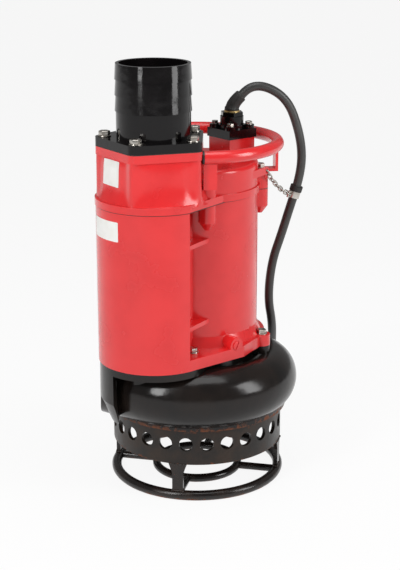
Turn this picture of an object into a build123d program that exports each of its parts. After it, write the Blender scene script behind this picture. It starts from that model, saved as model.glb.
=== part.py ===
from build123d import *
import os
from math import cos, pi, radians, sin, sqrt, tan

# Submersible slurry pump with a side discharge column, in millimetres.
# +Z is up, the shaft turns about the Z axis, the floor is at zero and the discharge stands towards -X.

# Clearances
SEAT_GAP = 0.2
RUN_GAP = 0.5
FIT_GAP = 0.03
FACE_GAP = 0.1

# Stand and strainer
RING_BAR_RADIUS = 10.8
RING_RADIUS = 183.0
RING_WEAR_FLAT = 0.6
STAND_HEIGHT = 84.0
LEG_FIRST_ANGLE = -67.0
LEG_COUNT = 4
LEG_WIDTH = 24.0
LEG_THICKNESS = 9.0
LEG_TOP_WIDTH = 40.0
LEG_FLARE = 22.0
GUARD_RADIUS = 92.0
GUARD_BAR_RADIUS = 9.0
SPOKE_RADIUS = 8.0
SKIRT_RADIUS = 188.0
SKIRT_HEIGHT = 80.0
SKIRT_WALL = 8.0
SKIRT_FLANGE = 9.0
SKIRT_FLANGE_WIDTH = 24.0
SKIRT_HOLES = 26
SKIRT_HOLE_RADIUS = 15.0
SKIRT_HOLE_HEIGHT = 46.0
SKIRT_HOLE_PHASE = -151.4
STRAINER_BOLTS = 8

# Volute casing
CASING_WALL = 11.0
DRUM_RADIUS = 164.0
DRUM_HEIGHT = 122.0
DRUM_OPENING_RADIUS = 98.0
CASING_FOOT_RADIUS = 198.0
CASING_FOOT_THICKNESS = 15.0
SCROLL_START_ANGLE = 125.0
SCROLL_SWEEP = 305.0
SCROLL_SECTIONS = 8
SCROLL_LIFT = 2.0
SCROLL_START_TUBE = 48.0
SCROLL_END_TUBE = 62.0
SCROLL_STRETCH = 1.1
SCROLL_START_MEAN = 151.0
SCROLL_END_MEAN = 176.0
OUTLET_RADIUS = 120.0
OUTLET_FLANGE = 16.0
OUTLET_BORE_RADIUS = 43.0
END_WALL_TURN = 36.0
END_WALL_FOOT = 10.0
END_WALL_WIDTH = 40.0
END_WALL_ROUNDING = 26.0
END_WALL_TAPER = 22.0
END_WALL_TAPER_HEIGHT = 52.0
NECK_HEIGHT = 22.0

# Suction cover, impeller and agitator
SUCTION_COVER_RADIUS = 154.0
SUCTION_SPIGOT_RADIUS = 138.0
SUCTION_SPIGOT_HEIGHT = 18.0
SUCTION_EYE_RADIUS = 62.0
SUCTION_BOLTS = 8
IMPELLER_RADIUS = 128.0
IMPELLER_HUB_RADIUS = 34.0
IMPELLER_SHROUD = 12.0
IMPELLER_VANES = 3
IMPELLER_VANE_THICKNESS = 15.0
IMPELLER_VANE_HEIGHT = 46.0
IMPELLER_CLEARANCE = 1.5
AGITATOR_RADIUS = 56.0
AGITATOR_HUB_RADIUS = 26.0
AGITATOR_HEIGHT = 52.0
AGITATOR_BLADES = 3
AGITATOR_BLADE_THICKNESS = 14.0
NUT_HEIGHT = 18.0
NUT_FLATS = 46.0

# Oil casing and shaft seals
OIL_CASING_RADIUS = 120.0
OIL_NECK_RADIUS = 100.0
OIL_CHAMBER_RADIUS = 86.0
OIL_FLANGE = 9.0
OIL_BOLTS = 6
SEAL_RADIUS = 36.0
SEAL_SEAT_HEIGHT = 10.0
SEAL_RING_RADIUS = 31.0
SEAL_RING_HEIGHT = 5.5

# Shaft and motor
SHAFT_TIP_RADIUS = 15.0
SHAFT_IMPELLER_RADIUS = 20.0
SHAFT_SEAL_RADIUS = 22.0
SHAFT_BEARING_RADIUS = 22.5
SHAFT_ROTOR_RADIUS = 28.0
FRAME_HEIGHT = 337.0
MOTOR_RADIUS = 132.0
MOTOR_BORE_RADIUS = 110.0
STATOR_BORE_RADIUS = 72.0
STATOR_HEIGHT = 160.0
STATOR_LIFT = 87.0
AIR_GAP = 1.0
WINDING_HEIGHT = 28.0
BEARING_OUTER_RADIUS = 50.0
BEARING_WIDTH = 25.0
BEARING_BALLS = 8
BALL_RADIUS = 8.75
RACE_RELIEF = 1.0
BRACKET_PLATE = 16.0
BEARING_BOSS_RADIUS = 62.0
UPPER_PLATE = 12.0
UPPER_PLATE_RADIUS = 118.0
RETAINER_THICKNESS = 5.0

# Frame casting
DISCHARGE_OFFSET = 150.0
COLUMN_RADIUS = 122.0
COLUMN_WALL = 12.0
COLUMN_EDGE_OFFSET = 44.0
DUCT_HALF_WIDTH = 58.0
DUCT_WALL = 12.0
GUSSET_THICKNESS = 9.0
GUSSET_HEIGHTS = (78.0, 254.0)
GUSSET_HALF_WIDTH = 104.0
FRAME_FLANGE = 24.0
FRAME_FLANGE_RADIUS = 149.0
FLANGE_CORNER_X = -42.0
FLANGE_CORNER_Y = 155.0
FRAME_EAR_ANGLES = (-70.0, 0.0, 70.0)
FRAME_EAR_BOLT_RADIUS = 147.0
FRAME_EAR_RADIUS = 19.0
POCKET_BOLT_X = -138.0
POCKET_BOLT_Y = 90.0
PLUG_X = -62.0
PLUG_HEIGHT = 29.0
PLUG_BOSS_RADIUS = 17.0
PLUG_RADIUS = 10.0

# Head casting
GASKET = 1.5
HEAD_RIM = 15.0
HEAD_RIM_OVERHANG = 3.0
HEAD_DOME_HEIGHT = 67.0
HEAD_DOME_FILLET = 9.0
HEAD_WALL = 13.0
HEAD_EAR_ANGLES = (-45.0, 45.0, 135.0, 225.0)
HEAD_EAR_BOLT_RADIUS = 138.0
HEAD_EAR_RADIUS = 18.0
HEAD_EAR_HEIGHT = 37.0
HEAD_EAR_DROP = 38.0
NECK_INSET = 1.5
NECK_POINTS = 40
NECK_LEVELS = ((0.0, 0.0), (0.1, 0.3), (0.4, 0.66), (1.0, 1.0))
NECK_HOLLOW = 5.0
PAD_HEIGHT = 119.0
PAD_THICKNESS = 17.0
LUG_COUNT = 5
LUG_FIRST_ANGLE = 197.0
LUG_BOLT_RADIUS = 101.0
LUG_RADIUS = 19.0

# Discharge coupling
COUPLING_FLANGE = 18.0
COUPLING_HEIGHT = 168.0
COUPLING_RADIUS = 77.0
COUPLING_BARB = 2.0
COUPLING_BORE_RADIUS = 70.0
COUPLING_BANDS = 3
COUPLING_BAND_HEIGHT = 32.0

# Cable entry
ENTRY_RADIUS = 97.0
ENTRY_ANGLE = -15.5
ENTRY_SIDE = 70.0
ENTRY_BOX_HEIGHT = 105.0
ENTRY_COVER_SIDE = 76.0
ENTRY_COVER_HEIGHT = 19.0
ENTRY_CORNER_RADIUS = 12.0
ENTRY_CORNER_HEIGHT = 27.0
ENTRY_BOLT_INSET = 12.0
ENTRY_CAVITY_RADIUS = 20.0
GLAND_RADIUS = 25.5
GLAND_HEIGHT = 27.0
GLAND_NUT_RADIUS = 22.0
GLAND_NUT_HEIGHT = 9.0
GLAND_RING_RADIUS = 17.0
GLAND_RING_HEIGHT = 3.0
BOOT_BASE_RADIUS = 15.0
BOOT_TOP_RADIUS = 12.5
BOOT_LENGTH = 14.0

# Carrying handle
HANDLE_CLEARANCE = 18.75
HANDLE_TUBE_RADIUS = 13.5
HANDLE_RISE = 105.0
HANDLE_GAP_HALF_ANGLE = 41.0
HANDLE_CAP = 4.0
BRACKET_WIDTH = 28.0
BRACKET_THICKNESS = 6.0
BRACKET_FOOT_INNER = 122.0

# Fasteners: shank radius, head flats, head height
M14 = (7.0, 21.0, 9.0)
M12 = (6.0, 19.0, 8.0)
M10 = (5.0, 16.0, 7.0)
M8 = (4.0, 13.0, 5.5)
BOLT_BITE = 18.0

# Power cable, its restraint chain and the put-away coil
CABLE_RADIUS = 9.8
CABLE_ROUTE = [
    (109, -47, 855), (142, -77, 862), (182, -113, 828), (203, -130, 758), (211, -135, 700),
    (208, -129, 647), (199, -112, 583), (190, -97, 522), (179, -79, 456), (181, -69, 368),
    (212, -62, 301), (262, -30, 228), (315, 6, 150), (364, 42, 92), (406, 79, 61), (444, 112, 49),
]
CLAMP_RUN = 5
COIL_CENTRE = (344.1, 249.5)
COIL_MEAN_RADIUS = 153.0
COIL_SIDE = 60.0
COIL_CORNER = 10.0
TIE_ANGLES = (110.0, 230.0)
TIE_WIDTH = 14.0
TIE_THICKNESS = 1.5
CABLE_END_ANGLE = 18.0
CABLE_END_LENGTH = 46.0
CABLE_END_RADIUS = 10.4
CORE_RADIUS = 3.2
CORE_LENGTH = 62.0
CORE_COUNT = 4
CLAMP_BAND_RADIUS = 13.0
CLAMP_BAND_HEIGHT = 15.0
CLAMP_SLEEVE_RADIUS = 14.0
CLAMP_SLEEVE_HEIGHT = 12.0
CLAMP_TAB_REACH = 24.0
CLAMP_EYE_RADIUS = 3.6
CLAMP_TAB_THICKNESS = 3.0
CHAIN_LINKS = 9
CHAIN_WIRE_RADIUS = 1.5
CHAIN_END_RADIUS = 4.4
CHAIN_SAG = 9.0
CHAIN_SLACK = 0.5
LUG_PLATE_THICKNESS = 4.0
LUG_PLATE_RADIUS = 8.0
LUG_PLATE_LENGTH = 62.0
LUG_HOLE_RADIUS = 4.5
LUG_X = 80.0
LUG_INSET = 7.0
LUG_RISE = 43.0

# Levels worked out from the heights above
SKIRT_BOTTOM = STAND_HEIGHT
CASING_BOTTOM = SKIRT_BOTTOM + SKIRT_HEIGHT
DRUM_TOP = CASING_BOTTOM + DRUM_HEIGHT
FRAME_BOTTOM = DRUM_TOP + NECK_HEIGHT
FRAME_TOP = FRAME_BOTTOM + FRAME_HEIGHT
HEAD_BOTTOM = FRAME_TOP + GASKET
HEAD_EAR_TOP = HEAD_BOTTOM + HEAD_EAR_HEIGHT
DOME_TOP = HEAD_BOTTOM + HEAD_DOME_HEIGHT
PAD_TOP = HEAD_BOTTOM + PAD_HEIGHT
COUPLING_BOTTOM = PAD_TOP + GASKET
ENTRY_BOX_TOP = HEAD_BOTTOM + ENTRY_BOX_HEIGHT
ENTRY_COVER_TOP = ENTRY_BOX_TOP + ENTRY_CORNER_HEIGHT
GLAND_TOP = ENTRY_COVER_TOP + GLAND_HEIGHT
HANDLE_HEIGHT = FRAME_TOP + HANDLE_RISE
ENTRY_CORNER_REACH = sqrt((ENTRY_RADIUS + ENTRY_COVER_SIDE / 2) ** 2 + (ENTRY_COVER_SIDE / 2) ** 2)
HANDLE_RADIUS = ENTRY_CORNER_REACH + HANDLE_CLEARANCE + HANDLE_TUBE_RADIUS
IMPELLER_BOTTOM = CASING_BOTTOM + SUCTION_SPIGOT_HEIGHT + IMPELLER_CLEARANCE
IMPELLER_TOP = IMPELLER_BOTTOM + IMPELLER_VANE_HEIGHT + IMPELLER_SHROUD
CHAMBER_TOP = IMPELLER_TOP + IMPELLER_CLEARANCE
OIL_BOTTOM = CHAMBER_TOP
LOWER_BEARING = FRAME_BOTTOM + BRACKET_PLATE + 2.0
LOWER_BOSS_TOP = LOWER_BEARING + BEARING_WIDTH
UPPER_PLATE_BOTTOM = FRAME_TOP - UPPER_PLATE
UPPER_BEARING = UPPER_PLATE_BOTTOM - BEARING_WIDTH - 6.0
STATOR_BOTTOM = FRAME_BOTTOM + STATOR_LIFT
STATOR_TOP = STATOR_BOTTOM + STATOR_HEIGHT
COLUMN = (-DISCHARGE_OFFSET, 0.0)


# Shape helpers
def disc(radius, bottom, top, at=(0.0, 0.0)):
    return Pos(at[0], at[1], bottom) * extrude(Circle(radius), top - bottom)


def tube(inner, outer, bottom, top, at=(0.0, 0.0)):
    return Pos(at[0], at[1], bottom) * extrude(Circle(outer) - Circle(inner), top - bottom)


def slab(sketch, bottom, top):
    return Pos(0, 0, bottom) * extrude(sketch, top - bottom)


def block(x0, x1, y0, y1, z0, z1):
    return Pos((x0 + x1) / 2, (y0 + y1) / 2, (z0 + z1) / 2) * Box(x1 - x0, y1 - y0, z1 - z0)


def turned(points):
    return revolve(Plane.XZ * Polygon(*points, align=None), Axis.Z)


def polar(radius, angle, height=0.0):
    return (radius * cos(radians(angle)), radius * sin(radians(angle)), height)


def evenly(count, first=0.0):
    return [first + 360.0 * i / count for i in range(count)]


def spread(shape, angles):
    return [Rot(0, 0, angle) * shape for angle in angles]


def solids_of(*shapes):
    flat = []
    for shape in shapes:
        items = shape if isinstance(shape, (list, tuple)) else [shape]
        for item in items:
            flat.extend(item.solids())
    return flat


def hex_bolt(size, length):
    """A hex bolt with its head standing on zero and its shank below."""
    shank, flats, head = size
    cap = extrude(RegularPolygon(flats / 2, 6, major_radius=False), head)
    return cap + disc(shank, -length, 0)


def bolt_hole(size, places, bottom, top, gap=SEAT_GAP):
    return [disc(size[0] + gap, bottom, top, at) for at in places]


def places_on(radius, angles):
    return [polar(radius, angle)[:2] for angle in angles]


def bolts_at(size, length, places, height):
    return [Pos(x, y, height) * hex_bolt(size, length) for x, y in places]


def lobed_outline():
    """The five-cornered outline shared by the discharge pad, gasket and coupling flange."""
    corners = Polygon(*places_on(LUG_BOLT_RADIUS, LUG_ANGLES), align=None)
    return Pos(*COLUMN) * offset(corners, LUG_RADIUS)


def corner_reach(angle):
    """How far the five-cornered outline reaches from the column's axis at an angle."""
    half = 180.0 / LUG_COUNT
    off = (angle - LUG_FIRST_ANGLE + half) % (2 * half) - half
    side = (LUG_BOLT_RADIUS * cos(radians(half)) + LUG_RADIUS) / cos(radians(half - abs(off)))
    across = LUG_BOLT_RADIUS * sin(radians(off))
    if abs(across) >= LUG_RADIUS:
        return side
    return min(side, LUG_BOLT_RADIUS * cos(radians(off)) + sqrt(LUG_RADIUS ** 2 - across ** 2))


LEG_ANGLES = evenly(LEG_COUNT, LEG_FIRST_ANGLE)
LUG_ANGLES = evenly(LUG_COUNT, LUG_FIRST_ANGLE)
HEAD_EARS = places_on(HEAD_EAR_BOLT_RADIUS, HEAD_EAR_ANGLES)
FRAME_EARS = places_on(FRAME_EAR_BOLT_RADIUS, FRAME_EAR_ANGLES)
POCKET_BOLTS = [(POCKET_BOLT_X, -POCKET_BOLT_Y), (POCKET_BOLT_X, POCKET_BOLT_Y)]
DISCHARGE_BOLTS = [(COLUMN[0] + x, y) for x, y in places_on(LUG_BOLT_RADIUS, LUG_ANGLES)]
STRAINER_BOLT_RADIUS = SKIRT_RADIUS - SKIRT_WALL - M8[1] / 2 - 2.0
STRAINER_PLACES = places_on(STRAINER_BOLT_RADIUS, evenly(STRAINER_BOLTS, LEG_FIRST_ANGLE + 22.5))
SUCTION_BOLT_RADIUS = (SUCTION_COVER_RADIUS + SUCTION_SPIGOT_RADIUS) / 2
SUCTION_PLACES = places_on(SUCTION_BOLT_RADIUS, evenly(SUCTION_BOLTS, LEG_FIRST_ANGLE))
OIL_BOLT_RADIUS = (OIL_CASING_RADIUS + OIL_NECK_RADIUS) / 2
OIL_PLACES = places_on(OIL_BOLT_RADIUS, evenly(OIL_BOLTS, 30.0))
ENTRY_CENTRE = polar(ENTRY_RADIUS, ENTRY_ANGLE)
ENTRY_FRAME = Pos(ENTRY_CENTRE[0], ENTRY_CENTRE[1], 0) * Rot(0, 0, ENTRY_ANGLE)
ENTRY_BOLT_REACH = ENTRY_COVER_SIDE / 2 - ENTRY_BOLT_INSET
ENTRY_BOLTS = [(sx * ENTRY_BOLT_REACH, sy * ENTRY_BOLT_REACH) for sx in (-1, 1) for sy in (-1, 1)]


# Stand: bent base ring, welded legs, suction guard and strainer skirt
def ring_bar(radius, bar, height):
    return Pos(0, 0, height) * Torus(radius, bar)


RING_CENTRE = RING_BAR_RADIUS - RING_WEAR_FLAT


def base_ring():
    floor_cut = disc(RING_RADIUS + 2 * RING_BAR_RADIUS, -RING_BAR_RADIUS, 0)
    return ring_bar(RING_RADIUS, RING_BAR_RADIUS, RING_CENTRE) - floor_cut


def stand_legs():
    inner = RING_RADIUS - LEG_THICKNESS / 2
    low, high = LEG_WIDTH / 2, LEG_TOP_WIDTH / 2
    shape = Polygon((-low, RING_CENTRE), (low, RING_CENTRE), (low, SKIRT_BOTTOM - LEG_FLARE), (high, SKIRT_BOTTOM),
                    (-high, SKIRT_BOTTOM), (-low, SKIRT_BOTTOM - LEG_FLARE), align=None)
    strap = Pos(inner, 0, 0) * extrude(Plane.YZ * shape, LEG_THICKNESS)
    bar = ring_bar(RING_RADIUS, RING_BAR_RADIUS + SEAT_GAP, RING_CENTRE)
    foot = strap - bar
    upper = foot.solids().sort_by(Axis.Z)[-1]
    return spread(upper, LEG_ANGLES)


def guard_ring():
    return ring_bar(GUARD_RADIUS, GUARD_BAR_RADIUS, RING_CENTRE)


def guard_spokes():
    length = RING_RADIUS - GUARD_RADIUS
    bar = Pos(GUARD_RADIUS, 0, RING_CENTRE) * Rot(0, 90, 0) * Cylinder(
        SPOKE_RADIUS, length, align=(Align.CENTER, Align.CENTER, Align.MIN))
    bar -= ring_bar(GUARD_RADIUS, GUARD_BAR_RADIUS + SEAT_GAP, RING_CENTRE)
    bar -= ring_bar(RING_RADIUS, RING_BAR_RADIUS + SEAT_GAP, RING_CENTRE)
    return spread(bar.solids().sort_by(SortBy.VOLUME)[-1], LEG_ANGLES)


def strainer():
    skirt = tube(SKIRT_RADIUS - SKIRT_WALL, SKIRT_RADIUS, SKIRT_BOTTOM, CASING_BOTTOM)
    inner = SKIRT_RADIUS - SKIRT_FLANGE_WIDTH
    skirt += tube(inner, SKIRT_RADIUS - SKIRT_WALL / 2, CASING_BOTTOM - SKIRT_FLANGE, CASING_BOTTOM)
    hole = Pos(SKIRT_RADIUS, 0, SKIRT_BOTTOM + SKIRT_HOLE_HEIGHT) * Rot(0, 90, 0) * Cylinder(
        SKIRT_HOLE_RADIUS, 4 * SKIRT_WALL)
    skirt -= spread(hole, evenly(SKIRT_HOLES, SKIRT_HOLE_PHASE))
    skirt -= bolt_hole(M8, STRAINER_PLACES, CASING_BOTTOM - 2 * SKIRT_FLANGE, CASING_BOTTOM + 1)
    return skirt


def upward_bolts(size, length, places, height):
    return [Pos(x, y, height) * Rot(180, 0, 0) * hex_bolt(size, length) for x, y in places]


# Wet end: volute, suction cover, impeller and agitator
def scroll_tube(part):
    return SCROLL_START_TUBE + part * (SCROLL_END_TUBE - SCROLL_START_TUBE)


def scroll_mean(part):
    return SCROLL_START_MEAN + part * (SCROLL_END_MEAN - SCROLL_START_MEAN)


def scroll(wall):
    """The growing round tube of the volute, swept clockwise seen from above."""
    sections = []
    for i in range(SCROLL_SECTIONS + 1):
        part = i / SCROLL_SECTIONS
        angle = SCROLL_START_ANGLE - part * SCROLL_SWEEP
        radius = scroll_tube(part)
        plane = Plane(
            origin=polar(scroll_mean(part), angle, CASING_BOTTOM + SCROLL_LIFT + SCROLL_STRETCH * radius),
            x_dir=polar(1, angle),
            z_dir=polar(1, angle - 90),
        )
        sections.append(plane * Ellipse(radius - wall, SCROLL_STRETCH * radius - wall))
    return loft(sections)


OUTLET_X = -SCROLL_END_MEAN
OUTLET_Z = CASING_BOTTOM + SCROLL_LIFT + SCROLL_STRETCH * SCROLL_END_TUBE


def throat(wall, length):
    """The straight end of the scroll, which runs towards +Y under the discharge flange."""
    start = Plane(origin=(OUTLET_X, 0, OUTLET_Z), x_dir=(-1, 0, 0), z_dir=(0, 1, 0))
    return extrude(start * Ellipse(SCROLL_END_TUBE - wall, SCROLL_STRETCH * SCROLL_END_TUBE - wall), length)


def end_wall():
    """The upright rounded wall that turns the flow up into the column."""
    foot = CASING_BOTTOM + END_WALL_FOOT
    reach = OUTLET_RADIUS - FACE_GAP
    upright = Pos(*COLUMN) * turned([
        (0, foot), (reach - END_WALL_TAPER, foot), (reach, foot + END_WALL_TAPER_HEIGHT),
        (reach, FRAME_BOTTOM - OUTLET_FLANGE / 2), (0, FRAME_BOTTOM - OUTLET_FLANGE / 2)])
    inner = OUTLET_RADIUS - END_WALL_WIDTH
    front = -sqrt(OUTLET_RADIUS ** 2 - inner ** 2)
    size = 2 * OUTLET_RADIUS
    room = Pos(front + size / 2, inner + size / 2) * RectangleRounded(size, size, END_WALL_ROUNDING)
    return upright & Pos(*COLUMN) * Rot(0, 0, END_WALL_TURN) * slab(room, CASING_BOTTOM, FRAME_BOTTOM)


def volute_passage():
    """The hollow that the water takes from the impeller to the discharge flange."""
    return scroll(CASING_WALL) + [
        throat(CASING_WALL, OUTLET_BORE_RADIUS),
        disc(OUTLET_BORE_RADIUS, OUTLET_Z, FRAME_BOTTOM, (OUTLET_X, 0)),
        disc(SCROLL_START_MEAN, CASING_BOTTOM + SUCTION_SPIGOT_HEIGHT, CHAMBER_TOP),
    ]


def volute_casing():
    upright = disc(OUTLET_RADIUS, CASING_BOTTOM, FRAME_BOTTOM, COLUMN)
    body = disc(DRUM_RADIUS, CASING_BOTTOM, DRUM_TOP) + [
        disc(CASING_FOOT_RADIUS, CASING_BOTTOM, CASING_BOTTOM + CASING_FOOT_THICKNESS),
        throat(0, 2 * OUTLET_RADIUS) & upright,
        end_wall(),
        disc(OUTLET_BORE_RADIUS + CASING_WALL, OUTLET_Z, FRAME_BOTTOM, (OUTLET_X, 0)),
        disc(OUTLET_RADIUS, FRAME_BOTTOM - OUTLET_FLANGE, FRAME_BOTTOM, COLUMN),
    ]
    body += scroll(0)
    body -= volute_passage()
    cuts = [
        disc(SUCTION_SPIGOT_RADIUS + SEAT_GAP, CASING_BOTTOM, CASING_BOTTOM + SUCTION_SPIGOT_HEIGHT),
        disc(DRUM_OPENING_RADIUS + SEAT_GAP, CHAMBER_TOP, DRUM_TOP),
        disc(OIL_CASING_RADIUS + 2 * SEAT_GAP, DRUM_TOP, FRAME_BOTTOM),
        oil_ear_room(),
    ]
    cuts += bolt_hole(M8, STRAINER_PLACES, CASING_BOTTOM, CASING_BOTTOM + CASING_FOOT_THICKNESS - 3)
    cuts += bolt_hole(M10, SUCTION_PLACES, CASING_BOTTOM, CASING_BOTTOM + BOLT_BITE)
    cuts += bolt_hole(M10, OIL_PLACES, DRUM_TOP - BOLT_BITE, DRUM_TOP)
    cuts += bolt_hole(M12, POCKET_BOLTS, FRAME_BOTTOM - BOLT_BITE, FRAME_BOTTOM)
    return body - cuts


def suction_cover():
    flange = SKIRT_FLANGE
    eye = SUCTION_EYE_RADIUS
    cover = turned([
        (eye + 6, CASING_BOTTOM - 2 * flange), (eye + 14, CASING_BOTTOM - 2 * flange),
        (eye + 22, CASING_BOTTOM - flange), (SUCTION_COVER_RADIUS, CASING_BOTTOM - flange),
        (SUCTION_COVER_RADIUS, CASING_BOTTOM), (SUCTION_SPIGOT_RADIUS, CASING_BOTTOM),
        (SUCTION_SPIGOT_RADIUS, CASING_BOTTOM + SUCTION_SPIGOT_HEIGHT),
        (eye, CASING_BOTTOM + SUCTION_SPIGOT_HEIGHT), (eye, CASING_BOTTOM),
    ])
    return cover - bolt_hole(M10, SUCTION_PLACES, CASING_BOTTOM - 2 * flange, CASING_BOTTOM + 1)


def curved_vane(inner, outer, sweep, thickness):
    """A backward-curved vane outline between two radii."""
    start = polar(inner, 0)
    middle = polar((inner + outer) / 2, sweep * 0.36)
    end = polar(outer, sweep)
    spine = ThreePointArc(start, middle, end)
    return trace(spine, thickness)


def impeller():
    shroud_bottom = IMPELLER_BOTTOM + IMPELLER_VANE_HEIGHT
    hub_bottom = IMPELLER_BOTTOM + IMPELLER_VANE_HEIGHT / 3
    wheel = turned([
        (SHAFT_IMPELLER_RADIUS + FIT_GAP, hub_bottom), (IMPELLER_HUB_RADIUS, hub_bottom),
        (IMPELLER_HUB_RADIUS * 1.25, shroud_bottom), (IMPELLER_RADIUS, shroud_bottom),
        (IMPELLER_RADIUS, shroud_bottom + IMPELLER_SHROUD * 0.6),
        (IMPELLER_HUB_RADIUS * 1.4, IMPELLER_TOP), (SHAFT_IMPELLER_RADIUS + FIT_GAP, IMPELLER_TOP),
    ])
    inner = SHAFT_IMPELLER_RADIUS + IMPELLER_VANE_THICKNESS
    vane = slab(curved_vane(inner, IMPELLER_RADIUS, 105, IMPELLER_VANE_THICKNESS), IMPELLER_BOTTOM,
                shroud_bottom + IMPELLER_SHROUD / 4)
    wheel += spread(vane, evenly(IMPELLER_VANES))
    wheel &= disc(IMPELLER_RADIUS, IMPELLER_BOTTOM, IMPELLER_TOP)
    return wheel - disc(SHAFT_IMPELLER_RADIUS + FIT_GAP, IMPELLER_BOTTOM, IMPELLER_TOP)


AGITATOR_TOP = IMPELLER_BOTTOM + IMPELLER_VANE_HEIGHT / 3 - FACE_GAP
AGITATOR_BLADE_TOP = CASING_BOTTOM - 2 * SKIRT_FLANGE - 6.0
AGITATOR_BOTTOM = AGITATOR_BLADE_TOP - AGITATOR_HEIGHT


def agitator():
    hub = turned([
        (SHAFT_TIP_RADIUS + FIT_GAP, AGITATOR_BOTTOM), (AGITATOR_HUB_RADIUS * 1.1, AGITATOR_BOTTOM),
        (AGITATOR_HUB_RADIUS, AGITATOR_BLADE_TOP), (AGITATOR_HUB_RADIUS * 0.9, AGITATOR_TOP),
        (SHAFT_TIP_RADIUS + FIT_GAP, AGITATOR_TOP),
    ])
    inner = SHAFT_TIP_RADIUS + AGITATOR_BLADE_THICKNESS
    blade = slab(curved_vane(inner, AGITATOR_RADIUS, 50, AGITATOR_BLADE_THICKNESS), AGITATOR_BOTTOM,
                 AGITATOR_BLADE_TOP)
    cone = turned([(0, AGITATOR_BOTTOM), (AGITATOR_RADIUS, AGITATOR_BOTTOM),
                   (AGITATOR_RADIUS * 0.75, AGITATOR_BLADE_TOP), (0, AGITATOR_BLADE_TOP)])
    blades = [item & cone for item in spread(blade, evenly(AGITATOR_BLADES))]
    bore = disc(SHAFT_TIP_RADIUS + FIT_GAP, AGITATOR_BOTTOM, AGITATOR_TOP)
    return hub + blades - bore


def agitator_nut():
    top = AGITATOR_BOTTOM
    nut = slab(RegularPolygon(NUT_FLATS / 2, 6, major_radius=False), top - NUT_HEIGHT, top)
    return nut - disc(SHAFT_TIP_RADIUS + FIT_GAP, top - NUT_HEIGHT, top)


# Oil casing with its ears, and the double shaft seal
def ear_outline(grow=0.0):
    outline = Circle(0.1)
    for angle, (x, y) in zip(FRAME_EAR_ANGLES, FRAME_EARS):
        outline += Pos(x, y) * Circle(FRAME_EAR_RADIUS + grow)
        arm = Pos(FRAME_EAR_BOLT_RADIUS / 2, 0) * Rectangle(FRAME_EAR_BOLT_RADIUS, 2 * (FRAME_EAR_RADIUS + grow))
        outline += Rot(0, 0, angle) * arm
    return outline


EAR_BOTTOM = FRAME_BOTTOM - NECK_HEIGHT * 0.8


def oil_ear_room():
    return slab(ear_outline(4 * SEAT_GAP), EAR_BOTTOM - 2 * SEAT_GAP, FRAME_BOTTOM + 1)


def oil_casing():
    flange_top = DRUM_TOP + OIL_FLANGE
    top_flange = FRAME_BOTTOM - OIL_FLANGE * 0.7
    body = turned([
        (0, OIL_BOTTOM), (DRUM_OPENING_RADIUS, OIL_BOTTOM), (DRUM_OPENING_RADIUS, DRUM_TOP),
        (OIL_CASING_RADIUS, DRUM_TOP), (OIL_CASING_RADIUS, flange_top), (OIL_NECK_RADIUS, flange_top),
        (OIL_NECK_RADIUS, top_flange), (OIL_CASING_RADIUS, top_flange), (OIL_CASING_RADIUS, FRAME_BOTTOM),
        (0, FRAME_BOTTOM),
    ])
    body += slab(ear_outline(), EAR_BOTTOM, FRAME_BOTTOM)
    body -= disc(OIL_CHAMBER_RADIUS, OIL_BOTTOM + SEAL_SEAT_HEIGHT, FRAME_BOTTOM)
    body -= disc(SEAL_RADIUS + FIT_GAP, OIL_BOTTOM, FRAME_BOTTOM)
    head_room = M10[1] / 2 + 2.5
    for x, y in OIL_PLACES:
        body -= disc(head_room, flange_top, FRAME_BOTTOM, (x, y))
    body -= bolt_hole(M10, OIL_PLACES, DRUM_TOP - 1, flange_top + 1)
    body -= bolt_hole(M12, FRAME_EARS, EAR_BOTTOM, FRAME_BOTTOM)
    return body


SEAL_CHAMBER_BOTTOM = OIL_BOTTOM + SEAL_SEAT_HEIGHT
UPPER_SEAT_BOTTOM = FRAME_BOTTOM + FACE_GAP


def seal_seats():
    seat = tube(SHAFT_SEAL_RADIUS + RUN_GAP, SEAL_RADIUS, 0, SEAL_SEAT_HEIGHT)
    return [Pos(0, 0, OIL_BOTTOM) * seat, Pos(0, 0, UPPER_SEAT_BOTTOM) * seat]


def seal_rotating_rings():
    ring = tube(SHAFT_SEAL_RADIUS + FIT_GAP, SEAL_RING_RADIUS, 0, SEAL_RING_HEIGHT)
    upper = UPPER_SEAT_BOTTOM - FACE_GAP - SEAL_RING_HEIGHT
    return [Pos(0, 0, SEAL_CHAMBER_BOTTOM + FACE_GAP) * ring, Pos(0, 0, upper) * ring]


def seal_bellows():
    """The rubber bellows that presses the two rotating seal rings apart."""
    bottom = SEAL_CHAMBER_BOTTOM + FACE_GAP + SEAL_RING_HEIGHT
    top = UPPER_SEAT_BOTTOM - FACE_GAP - SEAL_RING_HEIGHT
    folds = 4
    inner = SHAFT_SEAL_RADIUS + FIT_GAP
    crest = SEAL_RING_RADIUS - 1.0
    root = SEAL_RING_RADIUS - 4.0
    step = (top - bottom) / (2 * folds)
    outline = [(inner, bottom), (root, bottom)]
    for i in range(1, 2 * folds):
        outline.append((crest if i % 2 else root, bottom + i * step))
    outline += [(root, top), (inner, top)]
    return turned(outline)


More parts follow.
